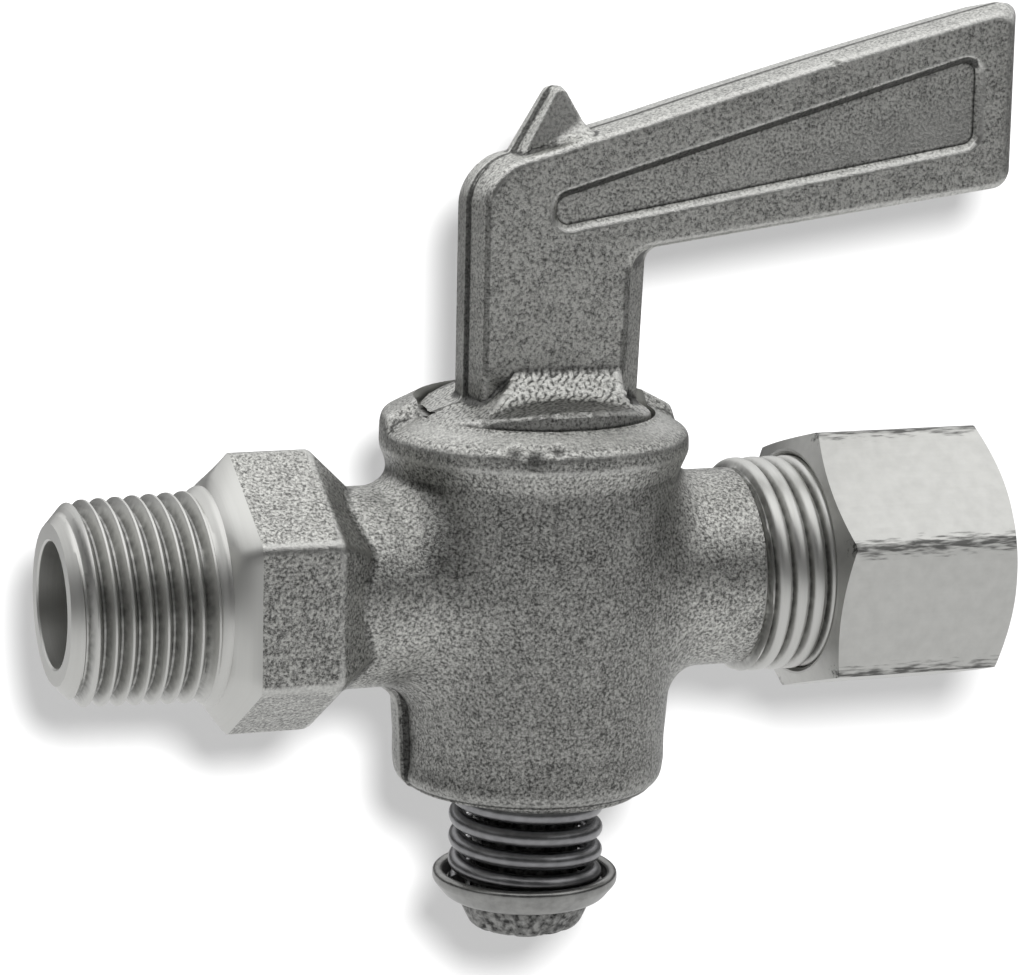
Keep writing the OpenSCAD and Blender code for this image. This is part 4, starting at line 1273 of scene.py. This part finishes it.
class COCK_OT_set_stage(bpy.types.Operator):
    """Set the camera, lamps, world, floor and backdrop"""
    bl_idname = "cock.set_stage"
    bl_label = "Stage and camera"

    def execute(self, context):
        scene = context.scene
        right, up, back = camera_axes()
        data = bpy.data.cameras.new("camera")
        data.sensor_fit = "AUTO"
        data.sensor_width = SENSOR
        data.lens = CAMERA_LENS
        data.clip_start, data.clip_end = 0.01, 20
        camera = bpy.data.objects.new("camera", data)
        scene.collection.objects.link(camera)
        stand = Matrix((right, up, back)).transposed().to_4x4()
        stand.translation = camera_place()
        camera.matrix_world = stand
        scene.camera = camera
        scene.view_settings.view_transform = "Standard"

        world = bpy.data.worlds.new("studio")
        scene.world = world
        world.use_nodes = True
        tree = world.node_tree
        tree.nodes.clear()
        # The world fills the shadows with a pale grey. The camera, gloss and glass see it white.
        path = add(tree, "ShaderNodeLightPath")
        seen = add(tree, "ShaderNodeMath", {"operation": "MAXIMUM"}, {
            0: path.outputs["Is Camera Ray"], 1: path.outputs["Is Glossy Ray"]})
        seen = add(tree, "ShaderNodeMath", {"operation": "MAXIMUM"}, {
            0: seen, 1: path.outputs["Is Transmission Ray"]})
        dim = add(tree, "ShaderNodeBackground", inputs={"Color": linear("#d8d8d8"), "Strength": 0.6})
        white = add(tree, "ShaderNodeBackground", inputs={"Color": (1, 1, 1, 1), "Strength": 1.0})
        mix = add(tree, "ShaderNodeMixShader", inputs={0: seen, 1: dim, 2: white})
        add(tree, "ShaderNodeOutputWorld", inputs={0: mix})

        high = BARREL_MIDDLE + OVERHEAD_PLACE
        over = self.lamp(scene, "overhead", high, high - Vector((0, 0, 1)), *OVERHEAD_SIZE,
                         OVERHEAD_POWER)
        # The backdrop stands clear of the lever turned to the back. Only the camera sees it.
        card = facing_card("backdrop", (BARREL_MIDDLE.x, BACKDROP_Y, BARREL_MIDDLE.z), (0, -1, 0),
                           BACKDROP_SIZE, BACKDROP_SIZE, self.pale("backdrop_card", "#bcbcbc", 0.24))
        facing_card("floor", (BARREL_MIDDLE.x, 0, FLOOR_Z), (0, 0, 1), FLOOR_SIZE, FLOOR_SIZE,
                    self.pale("floor_card", "#d8d8d8", 0.45))
        for ray in ("shadow", "diffuse", "glossy", "transmission"):
            setattr(card, "visible_" + ray, False)
        # The shadow lamp lights the backdrop alone, from a little above and to the right of the
        # camera, so that the object's soft shadow falls a little below and to its left.
        beside = camera_place() + SHADOW_LAMP_RIGHT * right + SHADOW_LAMP_UP * up
        lamp = self.lamp(scene, "shadow_lamp", beside, beside - back, SHADOW_LAMP_SIZE,
                         SHADOW_LAMP_SIZE, SHADOW_LAMP_POWER)
        lamp.data.shape = "DISK"
        lamp.visible_camera = False
        for name, light, things in (("shadow_only", lamp, [card]), ("object_and_floor", over, None)):
            group = bpy.data.collections.new(name)
            light.light_linking.receiver_collection = group
            for thing in things or [o for o in bpy.data.objects if o.type == "MESH" and o != card]:
                group.objects.link(thing)
        # Dark cloth stands round the object and higher in front. Only reflections see it.
        toward = math.degrees(math.atan2(back.y, back.x))
        for name, (radius, lowest, highest, side, spread, grey) in CLOTHS.items():
            self.cloth(name, radius, lowest, highest, toward + side, spread, grey)
        return {"FINISHED"}

    def lamp(self, scene, name, place, aim, width, height, power):
        """A soft rectangular lamp that points at a place."""
        data = bpy.data.lights.new(name, "AREA")
        data.shape = "RECTANGLE"
        data.size, data.size_y = width, height
        data.energy = power
        lamp = bpy.data.objects.new(name, data)
        scene.collection.objects.link(lamp)
        turn = (place - aim).to_track_quat("Z", "Y").to_matrix().to_4x4()
        lamp.matrix_world = Matrix.Translation(place) @ turn
        return lamp

    def cloth(self, name, radius, low, high, toward, spread, grey):
        """An upright cloth bent round the object, spread to both sides of a direction in degrees."""
        bm = bmesh.new()
        start = math.radians(toward - spread)
        edge = [Vector((radius * math.cos(start), radius * math.sin(start), z)) for z in (low, high)]
        verts = [bm.verts.new(BARREL_MIDDLE + place) for place in edge]
        bmesh.ops.spin(bm, geom=verts + [bm.edges.new(verts)], cent=BARREL_MIDDLE, axis=(0, 0, 1),
                       angle=math.radians(2 * spread), steps=60)
        cloth = as_object(name, bm, [self.matt(name, grey)])
        for ray in ("camera", "shadow", "diffuse", "transmission"):
            setattr(cloth, "visible_" + ray, False)

    def matt(self, name, grey):
        """One even grey under any light, for cloth that only reflections see."""
        material, tree = empty_material(name)
        shader = add(tree, "ShaderNodeEmission", inputs={"Color": linear(grey), "Strength": 1.0})
        add(tree, "ShaderNodeOutputMaterial", inputs={0: shader})
        return material

    def pale(self, name, colour, glow):
        """Pale card that keeps the shadow, glows enough to look white, and is clear from behind."""
        material, tree = empty_material(name)
        card = add(tree, "ShaderNodeBsdfDiffuse", inputs={"Color": linear(colour)})
        light = add(tree, "ShaderNodeEmission", inputs={"Color": (1, 1, 1, 1), "Strength": glow})
        both = add(tree, "ShaderNodeAddShader", inputs={0: card, 1: light})
        clear = add(tree, "ShaderNodeBsdfTransparent")
        behind = add(tree, "ShaderNodeNewGeometry").outputs["Backfacing"]
        mix = add(tree, "ShaderNodeMixShader", inputs={0: behind, 1: both, 2: clear})
        add(tree, "ShaderNodeOutputMaterial", inputs={0: mix})
        return material


def write_points():
    """Works out how far from its image point each thing shows, and keeps none of it."""
    pieces = {o.name: o for o in bpy.data.objects if "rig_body" in o and not o.hide_render}

    def shown(name, keep=None):
        mesh = pieces[name].data
        places = np.empty(len(mesh.vertices) * 3)
        mesh.vertices.foreach_get("co", places)
        places = places.reshape(-1, 3)
        local = places * 1000 - (PLUG_X, 0, 0)
        return seen_at(places[keep(*local.T)] if keep else places)
    every = np.concatenate([shown(n) for n in pieces if pieces[n].type == "MESH"])
    rim = shown("body_forging", lambda x, y, z: (z > 9) & (abs(x) < 15))
    hexagon = shown("body_forging", lambda x, y, z: x < -19)
    stem = shown("lever_forging", lambda x, y, z: (z > 18) & (z < 30))
    fin = shown("lever_forging", lambda x, y, z: (x < 6) & (z > 36))
    cup, nut = shown("cup_pressing"), shown("compression_nut")
    highest = fin[fin[:, 1].argmin()]
    found = {
        "left_edge": (every[:, 0].min(), None), "right_edge": (every[:, 0].max(), None),
        "top_edge": (None, every[:, 1].min()), "bottom_edge": (None, every[:, 1].max()),
        "fin_tip": tuple(highest), "rim_left": (rim[:, 0].min(), None),
        "rim_right": (rim[:, 0].max(), None), "hexagon_top": (None, hexagon[:, 1].min()),
        "hexagon_foot": (None, hexagon[:, 1].max()), "nut_top": (None, nut[:, 1].min()),
        "nut_foot": (None, nut[:, 1].max()), "cup_left": (cup[:, 0].min(), None),
        "cup_right": (cup[:, 0].max(), None), "stem_left": (stem[:, 0].min(), None)}
    for name, place in PLACED.items():
        found[name] = tuple(seen_at(np.array([place]))[0])
    for name, wanted in IMAGE_POINTS.items():
        [None if w is None else round(float(f - w), 1) for w, f in zip(wanted, found[name])]


# ---------------------------------------------------------------- panel and run

OPERATORS = (COCK_OT_forge_body, COCK_OT_cut_pipe_thread, COCK_OT_cut_tube_thread, COCK_OT_forge_lever,
             COCK_OT_turn_plug, COCK_OT_wind_spring, COCK_OT_press_cup, COCK_OT_turn_sleeve,
             COCK_OT_mill_nut, COCK_OT_set_stage)


class COCK_PT_pieces(bpy.types.Panel):
    """Lists the pieces, their sizes and their colours"""
    bl_idname = "COCK_PT_pieces"
    bl_label = "Shut-Off Cock"
    bl_space_type = "VIEW_3D"
    bl_region_type = "UI"
    bl_category = "Cock"

    def draw(self, context):
        for operator in OPERATORS:
            self.layout.operator(operator.bl_idname)
        for group in (context.scene.cock_sizes, context.scene.cock_colours):
            for name in group.__annotations__:
                self.layout.prop(group, name)


CLASSES = (CockSizes, CockColours, *OPERATORS, COCK_PT_pieces)


def register():
    for cls in CLASSES:
        bpy.utils.register_class(cls)
    bpy.types.Scene.cock_sizes = PointerProperty(type=CockSizes)
    bpy.types.Scene.cock_colours = PointerProperty(type=CockColours)


def unregister():
    del bpy.types.Scene.cock_colours
    del bpy.types.Scene.cock_sizes
    for cls in reversed(CLASSES):
        bpy.utils.unregister_class(cls)


def main():
    """Builds every piece and the stage."""
    register()
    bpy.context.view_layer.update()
    for operator in OPERATORS:
        family, name = operator.bl_idname.split(".")
        getattr(getattr(bpy.ops, family), name)()
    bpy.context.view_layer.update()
    write_points()


if __name__ == "__main__":
    main()
